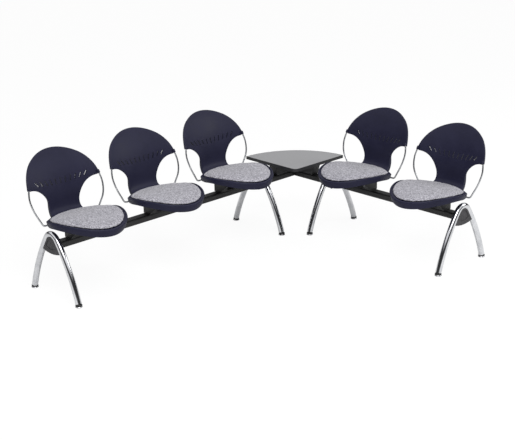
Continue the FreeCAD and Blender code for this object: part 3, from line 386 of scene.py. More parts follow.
def smooth_through(points, count):
    """Evenly spaced points on a natural cubic curve through the given ones."""
    knots = np.array(points, float)
    marks = np.concatenate([[0], np.cumsum(np.linalg.norm(np.diff(knots, axis=0), axis=1))])
    gaps = np.diff(marks)
    size = len(knots)
    left = np.eye(size)
    right = np.zeros_like(knots)
    for i in range(1, size - 1):
        left[i, i - 1:i + 2] = gaps[i - 1], 2 * (gaps[i - 1] + gaps[i]), gaps[i]
        right[i] = 6 * ((knots[i + 1] - knots[i]) / gaps[i] - (knots[i] - knots[i - 1]) / gaps[i - 1])
    bend = np.linalg.solve(left, right)
    t = np.linspace(0, marks[-1], count)
    i = np.clip(np.searchsorted(marks, t) - 1, 0, size - 2)
    a = ((marks[i + 1] - t) / gaps[i])[:, None]
    b = 1 - a
    g = gaps[i][:, None] ** 2 / 6
    return a * knots[i] + b * knots[i + 1] + ((a ** 3 - a) * bend[i] + (b ** 3 - b) * bend[i + 1]) * g


back_line = [(back_v(rise), PAN_TOP + rise) for rise in (BACK_REACH, 298, 245, 192, 140, 75)]
bend_line = [(v, PAN_TOP + rise) for v, rise in BEND_LINE]
pan_line = [(v, PAN_TOP - drop) for v, drop in PAN_LINE]
LINE = smooth_through(back_line + bend_line + pan_line, 900)
LINE_V, LINE_Z = LINE[:, 0], LINE[:, 1]
LINE_S = np.concatenate([[0], np.cumsum(np.hypot(np.diff(LINE_V), np.diff(LINE_Z)))])
tangent_v = np.gradient(LINE_V, LINE_S)
tangent_z = np.gradient(LINE_Z, LINE_S)
NORMAL_Y = tangent_z / np.hypot(tangent_v, tangent_z)
NORMAL_Z = tangent_v / np.hypot(tangent_v, tangent_z)
DISH = PAN_DISH + (WALL_SPREAD ** 2 / (2 * BACK_DISH_R) - PAN_DISH) * np.abs(NORMAL_Y) ** 3


def along(values, s):
    return float(np.interp(s, LINE_S, values))


def on_surface(u, s, lift=0.0):
    """The point at u sideways and s along the line, lifted off the shell's front face."""
    rise = along(DISH, s) * (u / WALL_SPREAD) ** 2 + lift
    y = -along(LINE_V, s) + along(NORMAL_Y, s) * rise
    z = along(LINE_Z, s) + along(NORMAL_Z, s) * rise
    return Vector((u, y, z))


def s_at_forward(u, v):
    """Where on the line the surface is v forwards of the beam, in the pan."""
    surface_v = LINE_V - NORMAL_Y * DISH * (u / WALL_SPREAD) ** 2
    return float(np.interp(v, surface_v, LINE_S))


BACK_PART = LINE_V < BACK_START_V


def s_at_height(u, z):
    """Where on the line the surface is at a height, in the back."""
    surface_z = (LINE_Z + NORMAL_Z * DISH * (u / WALL_SPREAD) ** 2)[BACK_PART]
    return float(np.interp(z, surface_z[::-1], LINE_S[BACK_PART][::-1]))


print("line length", round(LINE_S[-1]), "mm")

# %% [markdown]
# The pad's outline in plan is a smooth curve through four points a side and one in front, closed by an arc
# at the rear. The pan's edge is the same outline, grown by the width of its border. Growing means moving
# each point along the curve's own normal.

# %% The pad's outline
REAR_CORNER_U = 175
PAD_POINTS = ((REAR_CORNER_U, 0), (208, 110), (184, 215), (114, 316))
PAD_FRONT = 365.0
PAD_REAR = 65.0
BORDER = 16.0
REAR_RADIUS = (REAR_CORNER_U ** 2 + PAD_REAR ** 2) / (2 * PAD_REAR)
REAR_CENTRE_V = REAR_RADIUS - PAD_REAR


def pad_side(grow, count=97):
    """From the rear right corner round the front to the rear left corner, grown outwards: (u, v)."""
    mirrored = [(-u, v) for u, v in PAD_POINTS[::-1]]
    curve = smooth_through(list(PAD_POINTS) + [(0, PAD_FRONT)] + mirrored, count)
    heading = np.gradient(curve, axis=0)
    heading /= np.linalg.norm(heading, axis=1)[:, None]
    return curve + np.stack([heading[:, 1], -heading[:, 0]], 1) * grow


def pad_rear(grow, from_u, to_u, count):
    """The rear arc, grown outwards, between two places sideways."""
    radius = REAR_RADIUS + grow
    turns = np.linspace(math.asin(from_u / radius), math.asin(to_u / radius), count)
    return np.stack([radius * np.sin(turns), REAR_CENTRE_V - radius * np.cos(turns)], 1)


CORNER_REACH = REAR_CORNER_U / REAR_RADIUS


def pad_outline(grow):
    corner_u = (REAR_RADIUS + grow) * CORNER_REACH
    return np.concatenate([pad_rear(grow, -corner_u, corner_u, 25)[:-1], pad_side(grow)[:-1]])


print("pad", round(float(pad_side(0)[:, 0].max() * 2)), "mm wide")

# %% [markdown]
# Seen from the front, the back is a crest arc, two shoulder arcs and two deep scoops that leave a waist.
# The shell's whole edge is that outline joined to the pan's edge, laid out flat. Slots are more loops
# inside it. triangle_fill makes one sheet with holes of these loops, and bisect_plane cuts it into a grid
# that can bend.

# %% The flat sheet
HALF_WIDTH = 248.0
CREST_TURN = math.radians(30)
TIP_TURN = math.radians(84)
SCOOP_R = 134.0
SCOOP_U = 238.0
SCOOP_Z = PAN_TOP + 17
ROLL = 2.6
TIP_DROP, WAIST_DROP, HEEL_INSET = 2.0, 13.0, 17.0
WAIST_STEP = 2.5
SLOTS_A_SIDE = 5
SLOT_ROW_RISE = 13.0
SLOT_PITCH, SLOT_LENGTH, SLOT_WIDTH = 33.5, 37.0, 7.6
SLOT_FAN = math.radians(8)
SHEET_CELL = 11.0


def arc(centre, radius, start, end, count):
    """Points by the angle from straight up."""
    turns = np.linspace(start, end, count)
    return [(centre[0] + radius * math.sin(t), centre[1] + radius * math.cos(t)) for t in turns]


def back_edge(inset):
    """The right half of the back's outline, from the waist up to the middle of the crest: (u, z)."""
    drop = BACK_RISE - TIP_RISE
    a1, b1 = math.sin(CREST_TURN), math.sin(TIP_TURN) - math.sin(CREST_TURN)
    a2, b2 = 1 - math.cos(CREST_TURN), math.cos(CREST_TURN) - math.cos(TIP_TURN)
    shoulder = (drop * a1 - HALF_WIDTH * a2) / (b2 * a1 - b1 * a2)
    crest = (HALF_WIDTH - b1 * shoulder) / a1
    top = PAN_TOP + BACK_RISE
    hub = ((crest - shoulder) * math.sin(CREST_TURN), top - crest + (crest - shoulder) * math.cos(CREST_TURN))
    tip = math.acos((PAN_TOP + TIP_RISE - TIP_DROP + inset - hub[1]) / (shoulder - inset))
    waist = -math.acos((PAN_TOP - WAIST_DROP - SCOOP_Z) / (SCOOP_R + inset))
    heel = math.asin((HALF_WIDTH - HEEL_INSET - SCOOP_U) / (SCOOP_R + inset))
    points = arc((SCOOP_U, SCOOP_Z), SCOOP_R + inset, waist, heel, 40)
    points += arc(hub, shoulder - inset, tip, CREST_TURN, 26)
    return points + arc((0, top - crest), crest - inset, CREST_TURN, 0, 20)[1:]


def shell_edge():
    """The whole edge of the shell, laid out flat as (u, s), inside its rolled rim."""
    right = [(u, s_at_height(u, z)) for u, z in back_edge(ROLL)]
    waist_u = right[0][0] + WAIST_STEP
    grow = BORDER - ROLL
    rear = pad_rear(grow, waist_u, (REAR_RADIUS + grow) * CORNER_REACH, 12)
    side = pad_side(grow)[:49]
    pan = [(u, s_at_forward(u, v)) for u, v in np.concatenate([rear, side[1:]])]
    half = pan[::-1] + right
    return half + [(-u, s) for u, s in half[-2:0:-1]]


def slot_middles():
    middles = []
    for i in range(-SLOTS_A_SIDE, SLOTS_A_SIDE + 1):
        z = PAN_TOP + TIP_RISE + SLOT_ROW_RISE * (i / SLOTS_A_SIDE) ** 2
        middles.append((i * SLOT_PITCH, s_at_height(i * SLOT_PITCH, z), SLOT_FAN * i))
    return middles


def slot_loop(u, s, lean):
    """A long hole with round ends, leaning out from the middle."""
    reach = (SLOT_LENGTH - SLOT_WIDTH) / 2
    points = []
    for end in (1, -1):
        for turn in np.linspace(0, math.pi, 9):
            x = end * SLOT_WIDTH / 2 * math.cos(turn)
            y = end * (reach + SLOT_WIDTH / 2 * math.sin(turn))
            across = u + x * math.cos(lean) + y * math.sin(lean)
            down = s + x * math.sin(lean) - y * math.cos(lean)
            points.append((across, down))
    return points


def add_loop(bm, points):
    verts = [bm.verts.new((x, y, 0)) for x, y in points]
    for a, b in zip(verts, verts[1:] + verts[:1]):
        bm.edges.new((a, b))


def flat_sheet(loops, cell):
    """A flat sheet inside the first loop, with the other loops as holes, cut into cells."""
    bm = bmesh.new()
    for loop in loops:
        add_loop(bm, loop)
    bmesh.ops.triangle_fill(bm, use_beauty=True, use_dissolve=False, edges=bm.edges[:])
    bmesh.ops.dissolve_limit(bm, angle_limit=0.01, verts=bm.verts[:], edges=bm.edges[:])
    for axis in (0, 1):
        low = min(vert.co[axis] for vert in bm.verts)
        high = max(vert.co[axis] for vert in bm.verts)
        steps = round((high - low) / cell / (1 if axis else 2))
        for i in range(1, steps):
            spot = [0.0, 0.0, 0.0]
            facing = [0.0, 0.0, 0.0]
            spot[axis] = low + (high - low) * i / steps
            facing[axis] = 1.0
            geometry = bm.verts[:] + bm.edges[:] + bm.faces[:]
            bmesh.ops.bisect_plane(bm, geom=geometry, dist=0.05, plane_co=spot, plane_no=facing)
    bmesh.ops.triangulate(bm, faces=[face for face in bm.faces if len(face.verts) > 4])
    for face in bm.faces:
        if face.normal.z < 0:
            face.normal_flip()
    return bm


# %% [markdown]
# The moulding's strength is in its edge: it rolls over and runs on as a rim behind the back and as a deeper
# skirt under the pan. That is the sheet's boundary, extruded a few times: three short steps round the roll
# and one long step down. The slots get a plain lip in the same way, deep enough that from the side one sees
# dark plastic and not the room behind. Solidify then gives the whole skin its wall, and a small bead is
# laid round the pad.

# %% The shell
RIM_DEPTH = 12.0
SKIRT_REAR, SKIRT_FRONT = 27.0, 40.0
SKIRT_TAPER = 0.16
SHELL_WALL = 4.2
SLOT_LIP = 13.0
ROD_R = 5.0
SOCKET_R = 8.7
SOCKET_DEPTH = 17.0
REAR_EDGE_V = 95.0
RIM_CHANGE_RISE, RIM_CHANGE_OVER = 10.0, 70.0
SOCKET_PAST, SOCKET_EASE = 3.5, 2.4
BOSS_R, PLATE_GAP = 10.0, 0.05
BEAD_COLUMNS, BEAD_FADE_COLUMNS, BEAD_SINK = 160, 7, 1.6
BEAD_PROFILE = ((4.0, -1.0), (4.3, 3.0), (5.4, 4.6), (7.5, 5.1),
                (11.0, 5.0), (13.2, 4.2), (14.6, 2.4), (15.3, -1.5))


def ease(x):
    x = min(1.0, max(0.0, x))
    return x * x * (3 - 2 * x)


def rim_depth(s):
    """How far the rim runs behind the face: shallow on the back, deeper round the pan, deepest in front."""
    v, z = along(LINE_V, s), along(LINE_Z, s)
    share = (v + REAR_EDGE_V) / (PAD_FRONT + REAR_EDGE_V)
    pan = SKIRT_REAR + (SKIRT_FRONT - SKIRT_REAR) * share ** 2 if share > 0 else SKIRT_REAR
    back = ease((z - PAN_TOP - RIM_CHANGE_RISE) / RIM_CHANGE_OVER) if v < BACK_START_V else 0.0
    return pan + (RIM_DEPTH - pan) * back


def edge_headings(bm, middles):
    """For each vertex on the shell's edge, its flat place and its outward direction."""
    outward = {}
    rim, lips = [], []
    for edge in bm.edges:
        a, b = edge.verts
        if len(edge.link_faces) != 1:
            continue
        spot = (a.co + b.co) / 2
        if any(math.hypot(spot.x - u, spot.y - s) < SLOT_LENGTH / 2 + 1 for u, s, _ in middles):
            lips.append(edge)
            continue
        rim.append(edge)
        way = Vector((b.co.y - a.co.y, a.co.x - b.co.x, 0)).normalized()
        if way.dot(spot - edge.link_faces[0].calc_center_median()) < 0:
            way.negate()
        for vert in (a, b):
            outward[vert] = outward.get(vert, Vector()) + way
    return rim, lips, {vert: (vert.co.x, vert.co.y, way.normalized()) for vert, way in outward.items()}


def roll_rim(bm, rim, marks):
    """Extrude the edge round its roll and on to the rim's depth."""
    steps = [(ROLL * math.sin(t), ROLL * (1 - math.cos(t))) for t in (math.pi / 6, math.pi / 3, math.pi / 2)]
    for step in steps + [None]:
        made = bmesh.ops.extrude_edge_only(bm, edges=rim)["geom"]
        rim = [item for item in made if isinstance(item, bmesh.types.BMEdge)]
        fresh = {}
        for vert in (item for item in made if isinstance(item, bmesh.types.BMVert)):
            source = next(e.other_vert(vert) for e in vert.link_edges if e.other_vert(vert) in marks)
            fresh[vert] = marks[source]
        for vert, (u, s, way) in fresh.items():
            depth = rim_depth(s)
            out, down = step or (ROLL - SKIRT_TAPER * depth, depth)
            vert.co = on_surface(u + way.x * out, s + way.y * out, -down)
        marks = fresh


def bead(bm):
    """The raised border round the pad, a profile carried along the outline."""
    columns = BEAD_COLUMNS
    start = len(bm.verts)
    bmesh.ops.create_grid(bm, x_segments=columns, y_segments=len(BEAD_PROFILE) - 1, size=1.0)
    bm.verts.ensure_lookup_table()
    curves = [pad_side(grow, columns + 1) for grow, _ in BEAD_PROFILE]
    for vert in bm.verts[start:]:
        i = round((vert.co.x + 1) / 2 * columns)
        j = round((vert.co.y + 1) / 2 * (len(BEAD_PROFILE) - 1))
        u, v = curves[j][i]
        fade = ease(min(i, columns - i) / BEAD_FADE_COLUMNS)
        lift = BEAD_PROFILE[j][1] * fade - BEAD_SINK * (1 - fade)
        vert.co = on_surface(u, s_at_forward(u, v), lift)


def ease_edges(bm, edges, size, segments):
    bmesh.ops.bevel(bm, geom=edges, offset=size, segments=segments, affect="EDGES", profile=0.5, material=-1)


def round_bar(bm, start, end, radius, sides=28, ease_end=0.0):
    """A closed round bar between two points; its far edge can be eased."""
    axis = end - start
    turn = axis.to_track_quat("Z", "Y").to_matrix().to_4x4()
    matrix = Matrix.Translation((start + end) / 2) @ turn
    made = bmesh.ops.create_cone(bm, cap_ends=True, segments=sides, radius1=radius, radius2=radius,
                                 depth=axis.length, matrix=matrix)["verts"]
    if ease_end:
        ring = {vert for vert in made if (vert.co - end).dot(axis) > -0.01}
        edges = {edge for vert in ring for edge in vert.link_edges if edge.other_vert(vert) in ring}
        ease_edges(bm, list(edges), ease_end, 3)


ROD_POINTS = ((239.5, -78, 656), (255.5, -59, 592), (243, -38, 524), (188, -38, 426.7), (0, -38, 426.7))
BOSSES = ((76, -8), (76, 128), (-76, -8), (-76, 128))


def seat_vector(u, v, z):
    return Vector((u, -v, z))


def make_shell():
    middles = slot_middles()
    bm = flat_sheet([shell_edge()] + [slot_loop(*slot) for slot in middles], SHEET_CELL)
    rim, lips, marks = edge_headings(bm, middles)
    flat = {vert: vert.co.copy() for edge in lips for vert in edge.verts}
    for vert in bm.verts:
        vert.co = on_surface(vert.co.x, vert.co.y)
    made = bmesh.ops.extrude_edge_only(bm, edges=lips)["geom"]
    for vert in (item for item in made if isinstance(item, bmesh.types.BMVert)):
        source = next(e.other_vert(vert) for e in vert.link_edges if e.other_vert(vert) in flat)
        vert.co = on_surface(flat[source].x, flat[source].y, -SLOT_LIP)
    roll_rim(bm, rim, marks)
    bmesh.ops.recalc_face_normals(bm, faces=bm.faces[:])
    pan_face = min(bm.faces, key=lambda face: (face.calc_center_median() - Vector((0, -150, PAN_TOP))).length)
    if pan_face.normal.z < 0:
        bmesh.ops.reverse_faces(bm, faces=bm.faces[:])
    bm = through_modifiers(bm, wall)
    bead(bm)
    top, below = seat_vector(*ROD_POINTS[0]), seat_vector(*ROD_POINTS[1])
    heading = (top - below).normalized()
    for side in (1, -1):
        flip = Matrix.Diagonal((side, 1, 1))
        low_end = flip @ (top - heading * SOCKET_DEPTH)
        high_end = flip @ (top + heading * SOCKET_PAST)
        round_bar(bm, low_end, high_end, SOCKET_R, 32, SOCKET_EASE)
    plate_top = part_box("seat_bracket_1")[1][2] / MM
    for u, v in BOSSES:
        under_pan = on_surface(u, s_at_forward(u, v), -SHELL_WALL / 2)
        round_bar(bm, Vector((u, -v, plate_top + PLATE_GAP)), under_pan, BOSS_R, 24)
    return finished(bm, "shell")


def wall(modifiers):
    solid = modifiers.new("wall", "SOLIDIFY")
    solid.thickness = SHELL_WALL
    solid.offset = -1.0


shell_mesh = make_shell()
for number in SEATS:
    mesh = placed_copy(shell_mesh, f"shell_{number}", seat_place(number))
    add_piece(f"moulded_shell_{number}", mesh, "shell_plastic", nodes=[f"seat_shell_{number}"])
print("shell faces", len(shell_mesh.polygons))

# %% [markdown]
# The pad is foam in a heather cover. It starts as a low crowned slab a little smaller than the finished
# pad, then Cloth blows it up from inside, which rounds its edges and draws its sides in as stuffing does. A
# cap on how far a point may move keeps it in its recess, and the underside is pressed flat on the pan.

# %% The pads
PAD_START = -0.5
PAD_EDGE, PAD_CROWN, CROWN_REACH = 8.5, 9.0, 55.0
PAD_BASE, PAD_SEAT = 0.5, 0.4
SHEET_CELL_PAD = 14.0
VOXEL = 0.006
SIM_FRAMES = 20
SWELL_CAP = 0.004


def outline_distance(u, v, outline):
    return float(np.min(np.hypot(outline[:, 0] - u, outline[:, 1] - v)))


def upper_layer(bm):
    """Extrude a flat sheet into a closed slab and return the new layer's vertices, still in place."""
    sheet = bm.verts[:] + bm.edges[:] + bm.faces[:]
    made = bmesh.ops.extrude_face_region(bm, geom=sheet, use_keep_orig=True)["geom"]
    return [item for item in made if isinstance(item, bmesh.types.BMVert)]


def make_pad_blank():
    """The crowned slab: a flat sheet given a second layer, both bent on to the pan."""
    outline = pad_outline(PAD_START)
    bm = flat_sheet([[(u, s_at_forward(u, v)) for u, v in outline]], SHEET_CELL_PAD)
    for vert in upper_layer(bm):
        vert.co.z = 1.0
    for vert in bm.verts:
        u, s, upper = vert.co
        depth = outline_distance(u, along(LINE_V, s), outline)
        crown = PAD_EDGE + PAD_CROWN * (1 - math.exp(-depth / CROWN_REACH * 2))
        vert.co = on_surface(u, s, crown if upper > 0.5 else PAD_BASE)
    bmesh.ops.recalc_face_normals(bm, faces=bm.faces[:])
    bmesh.ops.transform(bm, matrix=Matrix.Scale(MM, 4), verts=bm.verts[:])
    return bm


def voxels(modifiers):
    remesh = modifiers.new("voxels", "REMESH")
    remesh.mode = "VOXEL"
    remesh.voxel_size = VOXEL


def blow_up(mesh):
    """Cloth with pressure and no gravity; returns where each vertex ends, before any cap."""
    holder = bpy.data.objects.new("pad_sim", mesh)
    bpy.context.scene.collection.objects.link(holder)
    cloth = holder.modifiers.new("stuffing", "CLOTH")
    cloth.settings.use_pressure = True
    cloth.settings.uniform_pressure_force = 4.0
    cloth.settings.effector_weights.gravity = 0.0
    cloth.settings.quality = 4
    for step in range(1, SIM_FRAMES + 1):
        bpy.context.scene.frame_set(step)
    swollen = holder.evaluated_get(bpy.context.evaluated_depsgraph_get()).to_mesh()
    ends = [vert.co.copy() for vert in swollen.vertices]
    holder.evaluated_get(bpy.context.evaluated_depsgraph_get()).to_mesh_clear()
    bpy.data.objects.remove(holder)
    bpy.context.scene.frame_set(1)
    return ends


def make_pad():
    bm = through_modifiers(make_pad_blank(), voxels)
    bmesh.ops.smooth_vert(bm, verts=bm.verts[:], factor=0.5,
                          use_axis_x=True, use_axis_y=True, use_axis_z=True)
    mesh = finished(bm, "pad")
    for vert, end in zip(mesh.vertices, blow_up(mesh)):
        move = end - vert.co
        if move.length > SWELL_CAP:
            move *= SWELL_CAP / move.length
        vert.co += move
    for vert in mesh.vertices:
        u, v = vert.co.x / MM, -vert.co.y / MM
        floor = on_surface(u, s_at_forward(u, v), PAD_SEAT).z * MM
        vert.co.z = max(vert.co.z, floor)
    return mesh


pad_mesh = make_pad()
for number in SEATS:
    matrix = seat_place(number) @ Matrix.Scale(1 / MM, 4)
    mesh = placed_copy(pad_mesh, f"pad_{number}", matrix)
    mesh.polygons.foreach_set("use_smooth", [True] * len(mesh.polygons))
    piece = add_piece(f"fabric_pad_{number}", mesh, "pad_fabric", nodes=[f"seat_pad_{number}"])
    refine = piece.modifiers.new("refine", "SUBSURF")
    refine.levels = refine.render_levels = 1
print("pad faces", len(pad_mesh.polygons))

# %% [markdown]
# Rods and legs are bent tube. A ring is extruded along straight runs, and round each bend it is extruded
# and turned in small steps about the bend's centre, which is just what a tube bender does.

# %% Bent tube
ROD_CORNER_R = 24.0
ROD_SIDES = 24
SIDE_BEND_SHARE = 0.45
BEND_STEP_DEGREES = 7


def extrude_ring(bm, ring):
    made = bmesh.ops.extrude_edge_only(bm, edges=ring)["geom"]
    edges = [item for item in made if isinstance(item, bmesh.types.BMEdge)]
    verts = [item for item in made if isinstance(item, bmesh.types.BMVert)]
    return edges, verts


def straight_run(bm, ring, move):
    edges, verts = extrude_ring(bm, ring)
    bmesh.ops.translate(bm, vec=move, verts=verts)
    return edges


def bend_run(bm, ring, centre, axis, angle, steps):
    for _ in range(steps):
        ring, verts = extrude_ring(bm, ring)
        bmesh.ops.rotate(bm, cent=centre, matrix=Matrix.Rotation(angle / steps, 3, axis), verts=verts)
    return ring


def start_ring(bm, centre, heading, radius, sides):
    turn = heading.to_track_quat("Z", "Y").to_matrix().to_4x4()
    made = bmesh.ops.create_circle(bm, cap_ends=True, segments=sides, radius=radius,
                                   matrix=Matrix.Translation(centre) @ turn)["verts"]
    return list({edge for vert in made for edge in vert.link_edges})


def close_tube(bm, ring):
    bmesh.ops.edgeloop_fill(bm, edges=ring)
    bmesh.ops.remove_doubles(bm, verts=bm.verts[:], dist=1e-4)
    bmesh.ops.recalc_face_normals(bm, faces=bm.faces[:])


def bent_rod(points, corner_bend, radius, sides):
    """A rod along a polyline with tangent bends."""
    bm = bmesh.new()
    ring = start_ring(bm, points[0], points[1] - points[0], radius, sides)
    here = points[0]
    middle = len(points) // 2
    for i in range(1, len(points) - 1):
        back = (points[i - 1] - points[i]).normalized()
        ahead = (points[i + 1] - points[i]).normalized()
        half = back.angle(ahead) / 2
        shorter = min((points[i] - points[i - 1]).length, (points[i + 1] - points[i]).length)
        at_low_corner = i in (middle - 1, middle)
        bend = corner_bend if at_low_corner else SIDE_BEND_SHARE * shorter * math.tan(half)
        start = points[i] + back * (bend / math.tan(half))
        centre = points[i] + (back + ahead).normalized() * (bend / math.sin(half))
        ring = straight_run(bm, ring, start - here)
        turn = math.pi - 2 * half
        steps = max(4, round(math.degrees(turn) / BEND_STEP_DEGREES))
        ring = bend_run(bm, ring, centre, (-back).cross(ahead), turn, steps)
        here = points[i] + ahead * (bend / math.tan(half))
    ring = straight_run(bm, ring, points[-1] - here)
    close_tube(bm, ring)
    return bm


rod_half = [seat_vector(*point) for point in ROD_POINTS[:-1]]
rod_route = rod_half + [Vector((-p.x, p.y, p.z)) for p in rod_half[::-1]]
rod_mesh = finished(bent_rod(rod_route, ROD_CORNER_R, ROD_R, ROD_SIDES), "rod")
for number in SEATS:
    mesh = placed_copy(rod_mesh, f"rod_{number}", seat_place(number))
    add_piece(f"chrome_rod_{number}", mesh, "chrome_rod", nodes=[f"back_rod_{number}"])
print("rod faces", len(rod_mesh.polygons))

# %% [markdown]
# A leg is one tube bent into a steep arch: a tight bend of 60 mm over the beam, and two long gentle arcs
# down to the feet. The long arc is the one that is tangent to the tight bend and ends at the foot's spread.

# %% The legs
LEG_R = 18.0
APEX_Z = 382.0
APEX_R = 60.0
APEX_TURN = math.radians(55)
FOOT_SPREAD = 221.0
TUBE_END_Z = 18.5
LEG_SIDES, LONG_ARC_STEPS, APEX_STEPS = 40, 14, 24


def make_leg():
    joint = (APEX_R * math.sin(APEX_TURN), APEX_Z - APEX_R * (1 - math.cos(APEX_TURN)))
    reach = (FOOT_SPREAD - joint[0], -joint[1])
    inward = (-math.sin(APEX_TURN), -math.cos(APEX_TURN))
    radius = (reach[0] ** 2 + reach[1] ** 2) / (2 * (reach[0] * inward[0] + reach[1] * inward[1]))
    hub = (joint[0] + inward[0] * radius, joint[1] + inward[1] * radius)
    low = math.asin((TUBE_END_Z - hub[1]) / radius)
    sweep = math.pi / 2 - APEX_TURN - low
    foot = Vector((0, -hub[0] - radius * math.cos(low), hub[1] + radius * math.sin(low)))
    heading = Vector((0, math.sin(low), math.cos(low)))
    bm = bmesh.new()
    ring = start_ring(bm, foot, heading, LEG_R, LEG_SIDES)
    across = Vector((1, 0, 0))
    ring = bend_run(bm, ring, Vector((0, -hub[0], hub[1])), across, -sweep, LONG_ARC_STEPS)
    ring = bend_run(bm, ring, Vector((0, 0, APEX_Z - APEX_R)), across, -2 * APEX_TURN, APEX_STEPS)
    ring = bend_run(bm, ring, Vector((0, hub[0], hub[1])), across, -sweep, LONG_ARC_STEPS)
    close_tube(bm, ring)
    return finished(bm, "leg")


leg_mesh = make_leg()
for leg in LEGS:
    mesh = placed_copy(leg_mesh, f"leg_tube_{leg}", leg_place(leg))
    add_piece(f"chrome_leg_{leg}", mesh, "chrome_tube", nodes=[f"leg_{leg}"])
print("leg faces", len(leg_mesh.polygons))

# %% [markdown]
# Each foot turns in and out to level the bench: a flat pad with an eased rim, a hexagon for a spanner and a
# threaded stem. Pad and stem are turned parts, so their profile is spun once round, and the hexagon is a
# six-sided bar. The plastic plug that holds the stem is turned too.

# %% Levelling feet
FOOT_PROFILE = ((0.0, 0.0), (19.6, 0.0), (21.0, 1.4), (21.0, 4.2), (19.2, 6.2),
                (14.0, 7.0), (5.0, 7.4), (5.0, 36.5), (4.0, 37.0), (0.0, 37.0))
PLUG_PROFILE = ((5.2, 10.0), (18.6, 10.0), (20.0, 11.2), (20.0, 13.2),
                (18.6, 14.6), (16.0, 17.5), (5.2, 17.5))
HEX_LOW, HEX_HIGH, HEX_R = 6.5, 9.6, 8.4


def turned(profile, sides=40, closed=False):
    """Spin a profile of (radius, height) once round the Z axis."""
    bm = bmesh.new()
    verts = [bm.verts.new((radius, 0, z)) for radius, z in profile]
    pairs = list(zip(verts, verts[1:] + verts[:1]))
    edges = [bm.edges.new(pair) for pair in (pairs if closed else pairs[:-1])]
    bmesh.ops.spin(bm, geom=verts + edges, cent=(0, 0, 0), axis=(0, 0, 1), angle=2 * math.pi, steps=sides,
                   use_merge=True)
    bmesh.ops.remove_doubles(bm, verts=bm.verts[:], dist=1e-3)
    bmesh.ops.recalc_face_normals(bm, faces=bm.faces[:])
    return bm


def make_foot():
    bm = turned(FOOT_PROFILE)
    round_bar(bm, Vector((0, 0, HEX_LOW)), Vector((0, 0, HEX_HIGH)), HEX_R, 6)
    return finished(bm, "foot")


foot_mesh = make_foot()
plug_mesh = finished(turned(PLUG_PROFILE, closed=True), "plug")
for leg in LEGS:
    plugs = bmesh.new()
    for end in ("front", "rear"):
        node = f"glide_{leg}_{end}"
        spot = middle_of(node)
        matrix = Matrix.Translation((spot[0], spot[1], 0)) @ Matrix.Scale(MM, 4)
        foot = placed_copy(foot_mesh, node + "_foot", matrix)
        add_piece(f"levelling_foot_{leg}_{end}", foot, "glide_metal", node, [node])
        plugs.from_mesh(placed_copy(plug_mesh, node + "_plug", matrix))
    plug_pair = finished(plugs, f"tube_plugs_{leg}")
    add_piece(f"tube_plugs_{leg}", plug_pair, "plug_plastic", nodes=[f"leg_plugs_{leg}"])
print("foot faces", len(foot_mesh.polygons))

# %% [markdown]
# The table top is a quarter-round board in grey laminate with a black band round its edge. Both come from
# one outline: the board is the smaller one, the band is the ring between the two, and its edges are eased
# with a bevel.

# %% The table
TABLE_CORNER = 324.0
TABLE_R = 452.0
TABLE_CORNER_R = 30.0
BAND = 2.5
BAND_DROP, BAND_EASE = 0.15, 0.7
TABLE_LOW, TABLE_HIGH = 441.0, 461.0


def table_outline(inset):
    """The board's outline from its inner corner round the arc, about the beams' crossing."""
    bend = TABLE_CORNER_R - inset
    hub = -TABLE_CORNER + inset + bend
    reach = TABLE_R - inset
    tilt = math.asin(inset / reach)
    corner = np.linspace(math.pi, 1.5 * math.pi, 14)
    sweep = np.linspace(tilt, math.pi / 2 - tilt, 72)
    points = [(hub + bend * math.cos(t), hub + bend * math.sin(t)) for t in corner]
    points += [(-TABLE_CORNER + reach * math.cos(t), -TABLE_CORNER + reach * math.sin(t)) for t in sweep]
    return points


def make_board(loops, high, edge_ease):
    bm = bmesh.new()
    for loop in loops:
        add_loop(bm, loop)
    bmesh.ops.triangle_fill(bm, use_beauty=True, use_dissolve=False, edges=bm.edges[:])
    bmesh.ops.dissolve_limit(bm, angle_limit=0.01, verts=bm.verts[:], edges=bm.edges[:])
    bmesh.ops.translate(bm, vec=(0, 0, TABLE_LOW), verts=bm.verts[:])
    bmesh.ops.translate(bm, vec=(0, 0, high - TABLE_LOW), verts=upper_layer(bm))
    bmesh.ops.recalc_face_normals(bm, faces=bm.faces[:])
    if edge_ease:
        outer = [edge for edge in bm.edges if len(edge.link_faces) == 2 and edge.calc_face_angle(0.0) > 1.2
                 and abs(edge.verts[0].co.z - edge.verts[1].co.z) < 0.01]
        ease_edges(bm, outer, edge_ease, 2)
    return finished(bm, "board")


table_place = Matrix.Translation((CROSS_X, CROSS_Y, 0)) @ Matrix.Scale(MM, 4)
board = make_board([table_outline(BAND)], TABLE_HIGH, 0.0)
band = make_board([table_outline(0), table_outline(BAND)], TABLE_HIGH - BAND_DROP, BAND_EASE)
board.transform(table_place)
band.transform(table_place)
add_piece("laminate_board", board, "table_laminate", nodes=["table_top"])
add_piece("edge_band", band, "table_edging", nodes=["table_edge"])
print("table faces", len(board.polygons), len(band.polygons))

# %% [markdown]
# Small screws hold each bracket plate to the four bosses under its seat. Only their domed heads show, from
# below, so they are short eased bars, all joined in one piece.

# %% Screw heads
SCREW_HEAD_R, SCREW_HEAD_H, SCREW_HEAD_EASE = 5.5, 3.4, 1.6
PLATE_T = 3.0


def make_screws():
    bm = bmesh.new()
    for number in SEATS:
        made = bmesh.new()
        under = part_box(f"seat_bracket_{number}")[1][2] / MM - PLATE_T
        for u, v in BOSSES:
            seat, crown = Vector((u, -v, under)), Vector((u, -v, under - SCREW_HEAD_H))
            round_bar(made, seat, crown, SCREW_HEAD_R, 20, SCREW_HEAD_EASE)
        bmesh.ops.transform(made, matrix=seat_place(number), verts=made.verts[:])
        mesh = finished(made, "heads")
        bm.from_mesh(mesh)
        bpy.data.meshes.remove(mesh)
    return finished(bm, "screw_heads")


add_piece("seat_screw_heads", make_screws(), "zinc_screws")

